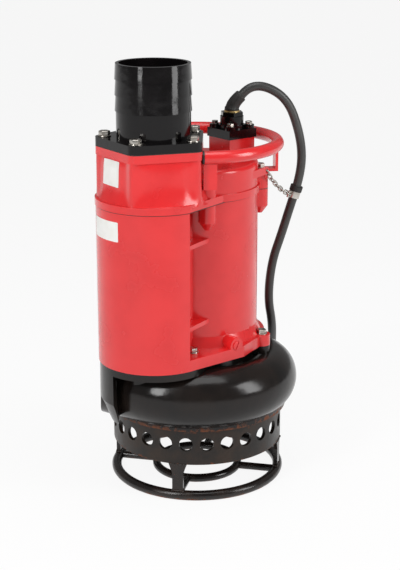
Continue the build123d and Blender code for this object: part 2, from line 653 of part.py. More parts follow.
# Motor: shaft, bearings, rotor and stator
def shaft():
    tip = AGITATOR_BOTTOM - NUT_HEIGHT - 6.0
    return turned([
        (0, tip), (SHAFT_TIP_RADIUS - 2, tip), (SHAFT_TIP_RADIUS, tip + 2),
        (SHAFT_TIP_RADIUS, AGITATOR_TOP + FACE_GAP / 2), (SHAFT_IMPELLER_RADIUS, AGITATOR_TOP + FACE_GAP / 2),
        (SHAFT_IMPELLER_RADIUS, IMPELLER_TOP), (SHAFT_SEAL_RADIUS, IMPELLER_TOP),
        (SHAFT_SEAL_RADIUS, LOWER_BEARING), (SHAFT_BEARING_RADIUS, LOWER_BEARING),
        (SHAFT_BEARING_RADIUS, LOWER_BOSS_TOP), (SHAFT_ROTOR_RADIUS, LOWER_BOSS_TOP),
        (SHAFT_ROTOR_RADIUS, UPPER_BEARING), (SHAFT_BEARING_RADIUS, UPPER_BEARING),
        (SHAFT_BEARING_RADIUS, UPPER_BEARING + BEARING_WIDTH + 2), (0, UPPER_BEARING + BEARING_WIDTH + 2),
    ])


PITCH_RADIUS = (SHAFT_BEARING_RADIUS + BEARING_OUTER_RADIUS) / 2
INNER_RACE_RADIUS = PITCH_RADIUS - BALL_RADIUS * 0.6
OUTER_RACE_RADIUS = PITCH_RADIUS + BALL_RADIUS * 0.6


def ball_groove(bottom):
    return Pos(0, 0, bottom + BEARING_WIDTH / 2) * Torus(PITCH_RADIUS, BALL_RADIUS + 0.3)


def inner_race(bottom):
    return tube(SHAFT_BEARING_RADIUS + FIT_GAP, INNER_RACE_RADIUS, bottom, bottom + BEARING_WIDTH) - ball_groove(bottom)


def outer_race(bottom):
    return tube(OUTER_RACE_RADIUS, BEARING_OUTER_RADIUS, bottom, bottom + BEARING_WIDTH) - ball_groove(bottom)


def ball_set(bottom):
    centre = bottom + BEARING_WIDTH / 2
    balls = [Pos(*polar(PITCH_RADIUS, a, centre)) * Sphere(BALL_RADIUS) for a in evenly(BEARING_BALLS)]
    rim = BALL_RADIUS + 2.2
    cage = tube(PITCH_RADIUS - 2.6, PITCH_RADIUS + 2.6, centre - rim, centre + rim)
    pocket = Pos(PITCH_RADIUS, 0, centre) * Rot(0, 90, 0) * Cylinder(BALL_RADIUS + 0.3, BALL_RADIUS)
    return balls + [cage - spread(pocket, evenly(BEARING_BALLS))]


def lower_bearing_bracket():
    spigot = FRAME_BOTTOM - 6.0
    body = turned([
        (SHAFT_SEAL_RADIUS + 2, spigot), (OIL_CHAMBER_RADIUS - SEAT_GAP, spigot),
        (OIL_CHAMBER_RADIUS - SEAT_GAP, FRAME_BOTTOM), (MOTOR_BORE_RADIUS - SEAT_GAP, FRAME_BOTTOM),
        (MOTOR_BORE_RADIUS - SEAT_GAP, FRAME_BOTTOM + BRACKET_PLATE),
        (BEARING_BOSS_RADIUS + 8, FRAME_BOTTOM + BRACKET_PLATE), (BEARING_BOSS_RADIUS, LOWER_BOSS_TOP),
        (SHAFT_SEAL_RADIUS + 2, LOWER_BOSS_TOP),
    ])
    body -= disc(SEAL_RADIUS + FIT_GAP, spigot, UPPER_SEAT_BOTTOM + SEAL_SEAT_HEIGHT)
    body -= disc(OUTER_RACE_RADIUS, LOWER_BEARING - RACE_RELIEF, LOWER_BEARING)
    return body - disc(BEARING_OUTER_RADIUS + FIT_GAP, LOWER_BEARING, LOWER_BOSS_TOP)


def bearing_retainer():
    return tube(OUTER_RACE_RADIUS + 1.5, BEARING_BOSS_RADIUS, LOWER_BOSS_TOP, LOWER_BOSS_TOP + RETAINER_THICKNESS)


def upper_bearing_bracket():
    body = turned([
        (SHAFT_BEARING_RADIUS + 4, UPPER_BEARING + BEARING_WIDTH), (BEARING_OUTER_RADIUS + FIT_GAP,
        UPPER_BEARING + BEARING_WIDTH), (BEARING_OUTER_RADIUS + FIT_GAP, UPPER_BEARING),
        (BEARING_BOSS_RADIUS, UPPER_BEARING), (BEARING_BOSS_RADIUS + 6, UPPER_PLATE_BOTTOM),
        (UPPER_PLATE_RADIUS - SEAT_GAP, UPPER_PLATE_BOTTOM), (UPPER_PLATE_RADIUS - SEAT_GAP, FRAME_TOP),
        (SHAFT_BEARING_RADIUS + 4, FRAME_TOP),
    ])
    seat = UPPER_BEARING + BEARING_WIDTH
    return body - disc(OUTER_RACE_RADIUS, seat, seat + RACE_RELIEF)


def rotor_core():
    return tube(SHAFT_ROTOR_RADIUS + FIT_GAP, STATOR_BORE_RADIUS - AIR_GAP, STATOR_BOTTOM, STATOR_TOP)


def stator_core():
    return tube(STATOR_BORE_RADIUS, MOTOR_BORE_RADIUS - FIT_GAP, STATOR_BOTTOM, STATOR_TOP)


def stator_windings():
    width = MOTOR_BORE_RADIUS - STATOR_BORE_RADIUS - 18.0
    mean = (MOTOR_BORE_RADIUS + STATOR_BORE_RADIUS) / 2
    section = Pos(mean, 0) * RectangleRounded(width, WINDING_HEIGHT, width / 4)
    end_turn = revolve(Plane.XZ * section, Axis.Z)
    lower = STATOR_BOTTOM - WINDING_HEIGHT / 2
    return [Pos(0, 0, lower) * end_turn, Pos(0, 0, STATOR_TOP + WINDING_HEIGHT / 2) * end_turn]


# Frame casting: motor barrel, discharge column with its two edges, gussets and foot flange
COLUMN_CHORD = -COLUMN_EDGE_OFFSET + COLUMN_WALL * 0.75


def left_of(x):
    """A half plane that keeps what lies further towards the discharge."""
    span = 4 * COLUMN_RADIUS
    return Pos(x - span / 2, 0) * Rectangle(span, span)


def duct_outline():
    passage = (Pos(*COLUMN) * Circle(COLUMN_RADIUS - COLUMN_WALL)) & Rectangle(
        4 * COLUMN_RADIUS, 2 * DUCT_HALF_WIDTH)
    return passage & left_of(-(MOTOR_BORE_RADIUS + DUCT_WALL))


def column_outline():
    front = (Pos(*COLUMN) * Circle(COLUMN_RADIUS)) & left_of(COLUMN[0] + COLUMN_CHORD)
    width = 2 * (DUCT_HALF_WIDTH + DUCT_WALL)
    back = Pos((COLUMN[0] + COLUMN_CHORD) / 2, 0) * Rectangle(-(COLUMN[0] + COLUMN_CHORD), width)
    return front + back


def foot_outline():
    reach = sqrt(COLUMN_RADIUS ** 2 - COLUMN_EDGE_OFFSET ** 2)
    edge_x = COLUMN[0] - COLUMN_EDGE_OFFSET
    wings = Polygon(
        (edge_x, -reach), (FLANGE_CORNER_X, -FLANGE_CORNER_Y), (0, -FRAME_FLANGE_RADIUS),
        (0, FRAME_FLANGE_RADIUS), (FLANGE_CORNER_X, FLANGE_CORNER_Y), (edge_x, reach), align=None)
    return wings + Pos(*COLUMN) * Circle(COLUMN_RADIUS) + Circle(FRAME_FLANGE_RADIUS) + ear_outline()


def plug_axis():
    """The plane of the flange's side face, with the oil plug at its origin and its normal outwards."""
    edge_x = COLUMN[0] - COLUMN_EDGE_OFFSET
    reach = sqrt(COLUMN_RADIUS ** 2 - COLUMN_EDGE_OFFSET ** 2)
    share = (PLUG_X - edge_x) / (FLANGE_CORNER_X - edge_x)
    place = Vector(PLUG_X, -reach + share * (reach - FLANGE_CORNER_Y), FRAME_BOTTOM + PLUG_HEIGHT)
    along = Vector(FLANGE_CORNER_X - edge_x, reach - FLANGE_CORNER_Y, 0).normalized()
    return Plane(origin=place, x_dir=along, z_dir=along.cross(Vector(0, 0, 1)))


def gusset(bottom):
    edge = -sqrt(MOTOR_RADIUS ** 2 - GUSSET_HALF_WIDTH ** 2)
    back = COLUMN[0] + COLUMN_CHORD
    inner = DUCT_HALF_WIDTH
    plate = Polygon((back - COLUMN_WALL / 2, inner), (edge, inner), (edge, GUSSET_HALF_WIDTH - 8),
                    (back - COLUMN_WALL / 2, GUSSET_HALF_WIDTH), align=None)
    plate += mirror(plate, Plane.XZ)
    return slab(plate, bottom, bottom + GUSSET_THICKNESS)


def frame_ear_bosses():
    straight = FRAME_TOP - HEAD_EAR_DROP
    taper = HEAD_EAR_RADIUS * 0.9
    bosses = []
    for angle in HEAD_EAR_ANGLES:
        x, y, _ = polar(HEAD_EAR_BOLT_RADIUS, angle)
        boss = disc(HEAD_EAR_RADIUS, straight, FRAME_TOP, (x, y))
        web = Rot(0, 0, angle) * block(MOTOR_RADIUS - 15, HEAD_EAR_BOLT_RADIUS, -HEAD_EAR_RADIUS,
                                       HEAD_EAR_RADIUS, straight, FRAME_TOP)
        cone = Pos(x, y, straight - taper) * Cone(HEAD_EAR_RADIUS * 0.35, HEAD_EAR_RADIUS, taper, align=(
            Align.CENTER, Align.CENTER, Align.MIN))
        bosses += [boss, web, cone]
    return bosses


def motor_frame():
    flange_top = FRAME_BOTTOM + FRAME_FLANGE
    body = disc(MOTOR_RADIUS, FRAME_BOTTOM, FRAME_TOP) + slab(column_outline(), FRAME_BOTTOM, FRAME_TOP)
    flare = FRAME_FLANGE * 0.9
    body += turned([(0, flange_top), (MOTOR_RADIUS + flare * 0.45, flange_top), (MOTOR_RADIUS, flange_top + flare),
                    (0, flange_top + flare)])
    body += slab(foot_outline(), FRAME_BOTTOM, flange_top)
    body += [gusset(FRAME_BOTTOM + height) for height in GUSSET_HEIGHTS]
    body += frame_ear_bosses()
    side = plug_axis()
    boss = extrude(side * Circle(PLUG_BOSS_RADIUS), -PLUG_BOSS_RADIUS * 2.6)
    body += boss
    body -= disc(MOTOR_BORE_RADIUS, FRAME_BOTTOM, FRAME_TOP)
    body -= disc(UPPER_PLATE_RADIUS, UPPER_PLATE_BOTTOM, FRAME_TOP)
    body -= slab(duct_outline(), FRAME_BOTTOM, FRAME_TOP)
    body -= bolt_hole(M12, POCKET_BOLTS + FRAME_EARS, FRAME_BOTTOM, flange_top)
    spot = flange_top + M12[2] * 2
    body -= [disc(M12[1] * 0.75, flange_top, spot, at) for at in POCKET_BOLTS + FRAME_EARS]
    body -= bolt_hole(M12, HEAD_EARS, FRAME_TOP - 1.5 * BOLT_BITE, FRAME_TOP)
    body -= extrude(side * Circle(PLUG_RADIUS + SEAT_GAP), -PLUG_BOSS_RADIUS)
    return body


def oil_plug():
    side = plug_axis()
    return extrude(side * Circle(PLUG_RADIUS), -PLUG_BOSS_RADIUS) + extrude(side * Circle(PLUG_RADIUS), 1.5)


# Head casting: rim, motor dome, discharge neck with five ridges, ears and cable box
def rim_outline(overhang):
    front = (Pos(*COLUMN) * Circle(COLUMN_RADIUS + overhang / 2)) & left_of(COLUMN[0] + COLUMN_CHORD)
    half = sqrt(COLUMN_RADIUS ** 2 - COLUMN_CHORD ** 2)
    back = Pos((COLUMN[0] + COLUMN_CHORD) / 2, 0) * Rectangle(-(COLUMN[0] + COLUMN_CHORD), 2 * half)
    return Circle(MOTOR_RADIUS + overhang) + front + back


def head_ear(angle):
    """The outline of one bolt ear and the short web that joins it to the barrel."""
    x, y, _ = polar(HEAD_EAR_BOLT_RADIUS, angle)
    inner = MOTOR_RADIUS - HEAD_WALL / 2
    web = Pos((inner + HEAD_EAR_BOLT_RADIUS) / 2, 0) * Rectangle(HEAD_EAR_BOLT_RADIUS - inner, 2 * HEAD_EAR_RADIUS)
    return Pos(x, y) * Circle(HEAD_EAR_RADIUS) + Rot(0, 0, angle) * web


def head_gasket():
    sheet = rim_outline(0)
    for angle in HEAD_EAR_ANGLES:
        sheet += head_ear(angle)
    sheet -= Circle(UPPER_PLATE_RADIUS)
    sheet -= duct_outline()
    for x, y in HEAD_EARS:
        sheet -= Pos(x, y) * Circle(M12[0] + SEAT_GAP)
    return slab(sheet, FRAME_TOP, HEAD_BOTTOM)


def neck_section(level, share):
    """One level outline of the neck, between the round column and the five-cornered pad."""
    low = HEAD_BOTTOM + HEAD_RIM / 2
    height = low + level * (PAD_TOP - PAD_THICKNESS / 2 - low)
    points = []
    for angle in evenly(NECK_POINTS, LUG_FIRST_ANGLE):
        ridge = LUG_BOLT_RADIUS + LUG_RADIUS
        flat = corner_reach(LUG_FIRST_ANGLE + 180.0 / LUG_COUNT)
        hollow = (ridge - corner_reach(angle)) * (1 + NECK_HOLLOW / (ridge - flat))
        reach = (1 - share) * COLUMN_RADIUS + share * (ridge - hollow) - NECK_INSET
        points.append(polar(reach, angle))
    return Pos(COLUMN[0], COLUMN[1], height) * make_face(Spline(*points, periodic=True))


def discharge_neck():
    """The neck under the discharge pad, with a soft ridge below each corner and hollows between them."""
    neck = loft([neck_section(level, share) for level, share in NECK_LEVELS])
    half = sqrt(COLUMN_RADIUS ** 2 - COLUMN_CHORD ** 2) + HEAD_RIM_OVERHANG
    return neck & block(-4 * COLUMN_RADIUS, 0, -half, half, HEAD_BOTTOM, PAD_TOP)


def handle_room():
    """The scoops in the neck and pad that keep clear of the handle's two ends."""
    length = 8 * HANDLE_CAP
    scoop = Pos(HANDLE_RADIUS, 0, HANDLE_HEIGHT) * Rot(90, 0, 0) * Pos(0, 0, 2 * HANDLE_CAP - length / 2) * Cylinder(
        HANDLE_TUBE_RADIUS + HANDLE_CAP * 0.75, length)
    far = mirror(scoop, Plane.XZ)
    return [Rot(0, 0, HANDLE_START) * scoop, Rot(0, 0, -HANDLE_START) * far]


def head_cover():
    body = slab(rim_outline(HEAD_RIM_OVERHANG), HEAD_BOTTOM, HEAD_BOTTOM + HEAD_RIM)
    dome = disc(MOTOR_RADIUS, HEAD_BOTTOM, DOME_TOP)
    dome = fillet(dome.edges().group_by(Axis.Z)[-1], HEAD_DOME_FILLET)
    body += dome
    pad = slab(lobed_outline(), PAD_TOP - PAD_THICKNESS, PAD_TOP)
    body += (discharge_neck() + pad) - handle_room()
    for angle in HEAD_EAR_ANGLES:
        body += slab(head_ear(angle), HEAD_BOTTOM, HEAD_EAR_TOP)
    body += chain_lug()
    body += ENTRY_FRAME * block(-ENTRY_SIDE / 2, ENTRY_SIDE / 2, -ENTRY_SIDE / 2, ENTRY_SIDE / 2,
                                DOME_TOP - HEAD_WALL, ENTRY_BOX_TOP)
    cavity_top = DOME_TOP - HEAD_WALL
    body -= disc(UPPER_PLATE_RADIUS - HEAD_WALL, HEAD_BOTTOM, cavity_top) - discharge_wall(cavity_top)
    duct_top = HEAD_BOTTOM + HEAD_DOME_HEIGHT
    body -= neck_room(duct_top)
    body -= disc(COUPLING_BORE_RADIUS + 2, duct_top - HEAD_WALL, PAD_TOP, COLUMN)
    body -= ENTRY_FRAME * disc(ENTRY_CAVITY_RADIUS, HEAD_BOTTOM, ENTRY_BOX_TOP)
    body -= bolt_hole(M14, DISCHARGE_BOLTS, PAD_TOP - 1.5 * BOLT_BITE, PAD_TOP)
    body -= bolt_hole(M12, HEAD_EARS, HEAD_BOTTOM, HEAD_EAR_TOP)
    body -= chain_lug_hole()
    notch = block(BRACKET_FOOT_INNER - 1.5, HANDLE_RADIUS + 20, -BRACKET_WIDTH / 2 - 2, BRACKET_WIDTH / 2 + 2,
                  HEAD_EAR_TOP, DOME_TOP + 3)
    body -= spread(notch, HEAD_EAR_ANGLES)
    body -= [ENTRY_FRAME * hole for hole in bolt_hole(M8, ENTRY_BOLTS, ENTRY_BOX_TOP - BOLT_BITE, ENTRY_BOX_TOP)]
    return body


def neck_room(top):
    """The water's way inside the neck, which narrows with the hollows between the corners."""
    flat = corner_reach(LUG_FIRST_ANGLE + 180.0 / LUG_COUNT) - NECK_HOLLOW - NECK_INSET
    cone = turned([(0, HEAD_BOTTOM), (COLUMN_RADIUS - COLUMN_WALL, HEAD_BOTTOM), (flat - COLUMN_WALL, top), (0, top)])
    sides = block(COLUMN[0] - COLUMN_RADIUS, -(MOTOR_BORE_RADIUS + DUCT_WALL), -DUCT_HALF_WIDTH, DUCT_HALF_WIDTH,
                  HEAD_BOTTOM - 1, top + 1)
    return (Pos(*COLUMN) * cone) & sides


def discharge_wall(top):
    """The wall round the discharge bore that the motor cavity keeps clear of."""
    return disc(COUPLING_BORE_RADIUS + HEAD_WALL, HEAD_BOTTOM, top, COLUMN)


# Discharge coupling with its barbed hose tail
def discharge_gasket():
    sheet = lobed_outline() - Pos(*COLUMN) * Circle(COUPLING_BORE_RADIUS + 2)
    for x, y in DISCHARGE_BOLTS:
        sheet -= Pos(x, y) * Circle(M14[0] + SEAT_GAP)
    return slab(sheet, PAD_TOP, COUPLING_BOTTOM)


def discharge_coupling():
    flange_top = COUPLING_BOTTOM + COUPLING_FLANGE
    top = COUPLING_BOTTOM + COUPLING_HEIGHT
    barb_start = top - COUPLING_BANDS * COUPLING_BAND_HEIGHT
    outline = [(COUPLING_BORE_RADIUS, COUPLING_BOTTOM), (COUPLING_RADIUS, COUPLING_BOTTOM),
               (COUPLING_RADIUS, barb_start)]
    for i in range(COUPLING_BANDS):
        band = barb_start + i * COUPLING_BAND_HEIGHT
        outline += [(COUPLING_RADIUS + COUPLING_BARB, band), (COUPLING_RADIUS, band + COUPLING_BAND_HEIGHT)]
    outline.append((COUPLING_BORE_RADIUS, top))
    body = Pos(*COLUMN) * turned(outline)
    flange = lobed_outline() - Pos(*COLUMN) * Circle(COUPLING_BORE_RADIUS)
    body += slab(flange, COUPLING_BOTTOM, flange_top)
    return body - bolt_hole(M14, DISCHARGE_BOLTS, COUPLING_BOTTOM, flange_top)


# Cable entry: cover with four corner bosses, gland and boot
def entry_cover():
    half = ENTRY_COVER_SIDE / 2
    plate = block(-half, half, -half, half, ENTRY_BOX_TOP, ENTRY_BOX_TOP + ENTRY_COVER_HEIGHT)
    corners = [disc(ENTRY_CORNER_RADIUS, ENTRY_BOX_TOP, ENTRY_COVER_TOP, at) for at in ENTRY_BOLTS]
    web = [block(-half, half, -ENTRY_COVER_HEIGHT / 2, ENTRY_COVER_HEIGHT / 2, ENTRY_BOX_TOP,
                 ENTRY_COVER_TOP - ENTRY_COVER_HEIGHT / 2),
           block(-ENTRY_COVER_HEIGHT / 2, ENTRY_COVER_HEIGHT / 2, -half, half, ENTRY_BOX_TOP,
                 ENTRY_COVER_TOP - ENTRY_COVER_HEIGHT / 2)]
    seat = disc(GLAND_RADIUS + 3, ENTRY_BOX_TOP, ENTRY_COVER_TOP)
    body = plate + corners + web + seat
    body -= bolt_hole(M8, ENTRY_BOLTS, ENTRY_BOX_TOP, ENTRY_COVER_TOP)
    return ENTRY_FRAME * body


def cable_gland():
    body = disc(GLAND_RADIUS, ENTRY_COVER_TOP, GLAND_TOP - GLAND_NUT_HEIGHT)
    return ENTRY_FRAME * body


def gland_nut():
    nut = slab(RegularPolygon(GLAND_NUT_RADIUS, 6, major_radius=False), GLAND_TOP - GLAND_NUT_HEIGHT, GLAND_TOP)
    return ENTRY_FRAME * nut


def gland_ring():
    return ENTRY_FRAME * disc(GLAND_RING_RADIUS, GLAND_TOP, GLAND_TOP + GLAND_RING_HEIGHT)


BOOT_FOOT = Vector(ENTRY_CENTRE[0], ENTRY_CENTRE[1], GLAND_TOP + GLAND_RING_HEIGHT)
BOOT_LEAN = (Vector(*CABLE_ROUTE[0]) - BOOT_FOOT).normalized()
CABLE_EXIT = BOOT_FOOT + BOOT_LEAN * BOOT_LENGTH


def cable_boot():
    base = Plane(origin=BOOT_FOOT, x_dir=(1, 0, 0), z_dir=(0, 0, 1))
    top = Plane(origin=CABLE_EXIT, z_dir=BOOT_LEAN)
    return loft([base * Circle(BOOT_BASE_RADIUS), top * Circle(BOOT_TOP_RADIUS)])


# Handle: open tube ring on four flat-bar brackets
HANDLE_SPAN = 360.0 - 2 * HANDLE_GAP_HALF_ANGLE
HANDLE_START = HANDLE_GAP_HALF_ANGLE - 180.0


def handle_arc(radius):
    ring = revolve(Plane.XZ * (Pos(HANDLE_RADIUS, 0) * Circle(radius)), Axis.Z, HANDLE_SPAN)
    return Pos(0, 0, HANDLE_HEIGHT) * Rot(0, 0, HANDLE_START) * ring


def handle_caps():
    cap = Pos(HANDLE_RADIUS, 0, HANDLE_HEIGHT) * Rot(90, 0, 0) * Cylinder(
        HANDLE_TUBE_RADIUS, HANDLE_CAP, align=(Align.CENTER, Align.CENTER, Align.MIN))
    far = Pos(HANDLE_RADIUS, 0, HANDLE_HEIGHT) * Rot(-90, 0, 0) * Cylinder(
        HANDLE_TUBE_RADIUS, HANDLE_CAP, align=(Align.CENTER, Align.CENTER, Align.MIN))
    return [Rot(0, 0, HANDLE_START) * cap, Rot(0, 0, -HANDLE_START) * far]


BRACKET_FOOT_TOP = HEAD_EAR_TOP + BRACKET_THICKNESS


def handle_brackets():
    outer = HANDLE_RADIUS + BRACKET_THICKNESS / 2
    half = BRACKET_WIDTH / 2
    foot = block(BRACKET_FOOT_INNER, outer, -half, half, HEAD_EAR_TOP, BRACKET_FOOT_TOP)
    upright = block(outer - BRACKET_THICKNESS, outer, -half, half, HEAD_EAR_TOP, HANDLE_HEIGHT)
    bar = foot + upright
    bar -= disc(M12[0] + SEAT_GAP, HEAD_EAR_TOP, BRACKET_FOOT_TOP, (HEAD_EAR_BOLT_RADIUS, 0))
    bar -= ring_bar(HANDLE_RADIUS, HANDLE_TUBE_RADIUS + SEAT_GAP, HANDLE_HEIGHT)
    bar = bar.solids().sort_by(SortBy.VOLUME)[-1]
    return spread(bar, HEAD_EAR_ANGLES)


# Power cable: free run, put-away coil with its ties, and the stripped end
def route_points():
    return [CABLE_EXIT] + [Vector(*point) for point in CABLE_ROUTE]


def route_radii(points):
    """Each corner's arc is as large as its two runs allow."""
    radii = []
    for before, corner, after in zip(points, points[1:], points[2:]):
        incoming = corner - before
        outgoing = after - corner
        turn = radians(incoming.get_angle(outgoing))
        radii.append(0.45 * min(incoming.length, outgoing.length) / tan(turn / 2))
    return radii


def power_cable():
    points = route_points()
    radii = route_radii(points)
    path = FilletPolyline(*points, radius=radii)
    start = Plane(origin=points[0], z_dir=(points[1] - points[0]).normalized())
    cable = sweep(start * Circle(CABLE_RADIUS), path=path)
    section = pi * CABLE_RADIUS ** 2
    print("cable arc radii", [round(r) for r in radii])
    print("cable length", round(path.length), "volume ratio", round(cable.volume / (section * path.length), 4))
    return cable


def coil_section(grow):
    side = COIL_SIDE + 2 * grow
    return Pos(COIL_MEAN_RADIUS, COIL_SIDE / 2) * RectangleRounded(side, side, COIL_CORNER + grow)


COIL_PLACE = Pos(COIL_CENTRE[0], COIL_CENTRE[1], 0)


def cable_coil():
    return COIL_PLACE * revolve(Plane.XZ * coil_section(0), Axis.Z)


def coil_ties():
    """Two straps round the bundle, open below where they would reach the floor."""
    loop = coil_section(TIE_THICKNESS) - coil_section(2 * SEAT_GAP)
    strap = Pos(0, TIE_WIDTH / 2, 0) * extrude(Plane.XZ * loop, TIE_WIDTH)
    strap -= block(0, 2 * COIL_MEAN_RADIUS, -TIE_WIDTH, TIE_WIDTH, -COIL_SIDE, 0.5)
    strap = strap.solids().sort_by(SortBy.VOLUME)[-1]
    return [COIL_PLACE * tie for tie in spread(strap, TIE_ANGLES)]


def on_floor(shape):
    """Sets a shape on the floor beside the coil, at the loose end's angle."""
    reach = COIL_MEAN_RADIUS + COIL_SIDE / 2 + CABLE_END_RADIUS + 3 * SEAT_GAP
    return Pos(COIL_CENTRE[0], COIL_CENTRE[1], 0) * Rot(0, 0, CABLE_END_ANGLE) * Pos(reach, 0, 0) * shape


def lying(radius, length, start, side=0.0):
    return Pos(side, start, radius + SEAT_GAP) * Rot(-90, 0, 0) * Cylinder(
        radius, length, align=(Align.CENTER, Align.CENTER, Align.MIN))


def cable_end_sleeve():
    return on_floor(lying(CABLE_END_RADIUS, CABLE_END_LENGTH, 0))


def cable_cores():
    """Four stripped cores lying side by side on the floor, each with its crimped tongue."""
    cores = []
    pitch = 2 * CORE_RADIUS + 0.4
    for i in range(CORE_COUNT):
        side = (i - (CORE_COUNT - 1) / 2) * pitch
        core = lying(CORE_RADIUS, CORE_LENGTH, CABLE_END_LENGTH, side)
        tongue = Pos(side, CABLE_END_LENGTH + CORE_LENGTH - 2, CORE_RADIUS + SEAT_GAP) * Box(
            2 * CORE_RADIUS - 1, 16, 1.6, align=(Align.CENTER, Align.MIN, Align.CENTER))
        cores.append(on_floor(core + tongue))
    return cores


# Restraint chain from a lug on the handle bracket to a clamp on the cable
def clamp_frame():
    points = route_points()
    before = points[CLAMP_RUN + 1]
    after = points[CLAMP_RUN + 2]
    return (before + after) / 2, (before - after).normalized()


CLAMP_CENTRE, CLAMP_UP = clamp_frame()
LUG_EYE = Vector(LUG_X, LUG_INSET - MOTOR_RADIUS, HEAD_BOTTOM + LUG_RISE)
CHAIN_REACH = LUG_EYE - CLAMP_CENTRE
CLAMP_SIDE = (CHAIN_REACH - CLAMP_UP * CHAIN_REACH.dot(CLAMP_UP)).normalized()
CLAMP_EYE = CLAMP_CENTRE + CLAMP_SIDE * (CLAMP_TAB_REACH - CLAMP_EYE_RADIUS - 2)
CHAIN_FORWARD = Vector(CLAMP_EYE.X - LUG_EYE.X, CLAMP_EYE.Y - LUG_EYE.Y, 0).normalized()
CHAIN_LEVEL = CHAIN_FORWARD.cross(Vector(0, 0, 1))
CLAMP_LEVEL = CLAMP_UP.cross(CLAMP_SIDE)


def lug_plane():
    """The upright plane of the lug plate, with the eye at its origin and the plate's foot towards +X."""
    return Plane(origin=LUG_EYE, x_dir=CHAIN_FORWARD * -1, z_dir=CHAIN_LEVEL)


def chain_lug():
    arm = Pos(LUG_PLATE_LENGTH / 2, 0) * Rectangle(LUG_PLATE_LENGTH, 2 * LUG_PLATE_RADIUS)
    return extrude(lug_plane() * (Circle(LUG_PLATE_RADIUS) + arm), LUG_PLATE_THICKNESS / 2, both=True)


def chain_lug_hole():
    return extrude(lug_plane() * Circle(LUG_HOLE_RADIUS), LUG_PLATE_THICKNESS, both=True)


def chain_point(share):
    straight = LUG_EYE + (CLAMP_EYE - LUG_EYE) * share
    return straight - Vector(0, 0, 4 * CHAIN_SAG * share * (1 - share))


def chain_link(start, end, cross):
    """One welded link whose wire ends lie on two neighbouring chain points."""
    along = (end - start).normalized()
    across = (cross - along * cross.dot(along)).normalized()
    overlap = CHAIN_WIRE_RADIUS + CHAIN_SLACK / 2
    straight = (end - start).length - 2 * CHAIN_END_RADIUS + 2 * overlap
    plane = Plane(origin=(start + end) / 2, x_dir=along, z_dir=along.cross(across))
    oval = plane * SlotCenterToCenter(straight, 2 * CHAIN_END_RADIUS)
    wire = oval.wire()
    section = Plane(origin=wire @ 0, z_dir=wire % 0) * Circle(CHAIN_WIRE_RADIUS)
    return sweep(section, path=wire)


def restraint_chain():
    links = []
    for i in range(CHAIN_LINKS):
        start = chain_point(i / CHAIN_LINKS)
        end = chain_point((i + 1) / CHAIN_LINKS)
        share = i / (CHAIN_LINKS - 1)
        level = CHAIN_LEVEL * (1 - share) + CLAMP_LEVEL * share * CHAIN_LEVEL.dot(CLAMP_LEVEL)
        cross = level if i % 2 == 0 else (end - start).cross(level)
        links.append(chain_link(start, end, cross))
    return links


def clamp_plane(shift):
    return Plane(origin=CLAMP_CENTRE + CLAMP_UP * shift, x_dir=CLAMP_SIDE, z_dir=CLAMP_UP)


def cable_clamp():
    """The steel band round the cable, with a drilled tab for the chain."""
    plane = clamp_plane(-CLAMP_BAND_HEIGHT / 2)
    band = extrude(plane * Circle(CLAMP_BAND_RADIUS), CLAMP_BAND_HEIGHT)
    tab = Pos(CLAMP_TAB_REACH / 2, 0) * Rectangle(CLAMP_TAB_REACH, CLAMP_TAB_THICKNESS)
    band += extrude(plane * tab, CLAMP_BAND_HEIGHT)
    band -= extrude(plane * Circle(CABLE_RADIUS + SEAT_GAP), CLAMP_BAND_HEIGHT)
    eye = Plane(origin=CLAMP_EYE, z_dir=CLAMP_LEVEL)
    return band - extrude(eye * Circle(CLAMP_EYE_RADIUS), 2 * CLAMP_TAB_THICKNESS, both=True)


def clamp_sleeve():
    plane = clamp_plane(CLAMP_BAND_HEIGHT / 2)
    return extrude(plane * (Circle(CLAMP_SLEEVE_RADIUS) - Circle(CABLE_RADIUS + SEAT_GAP)), CLAMP_SLEEVE_HEIGHT)


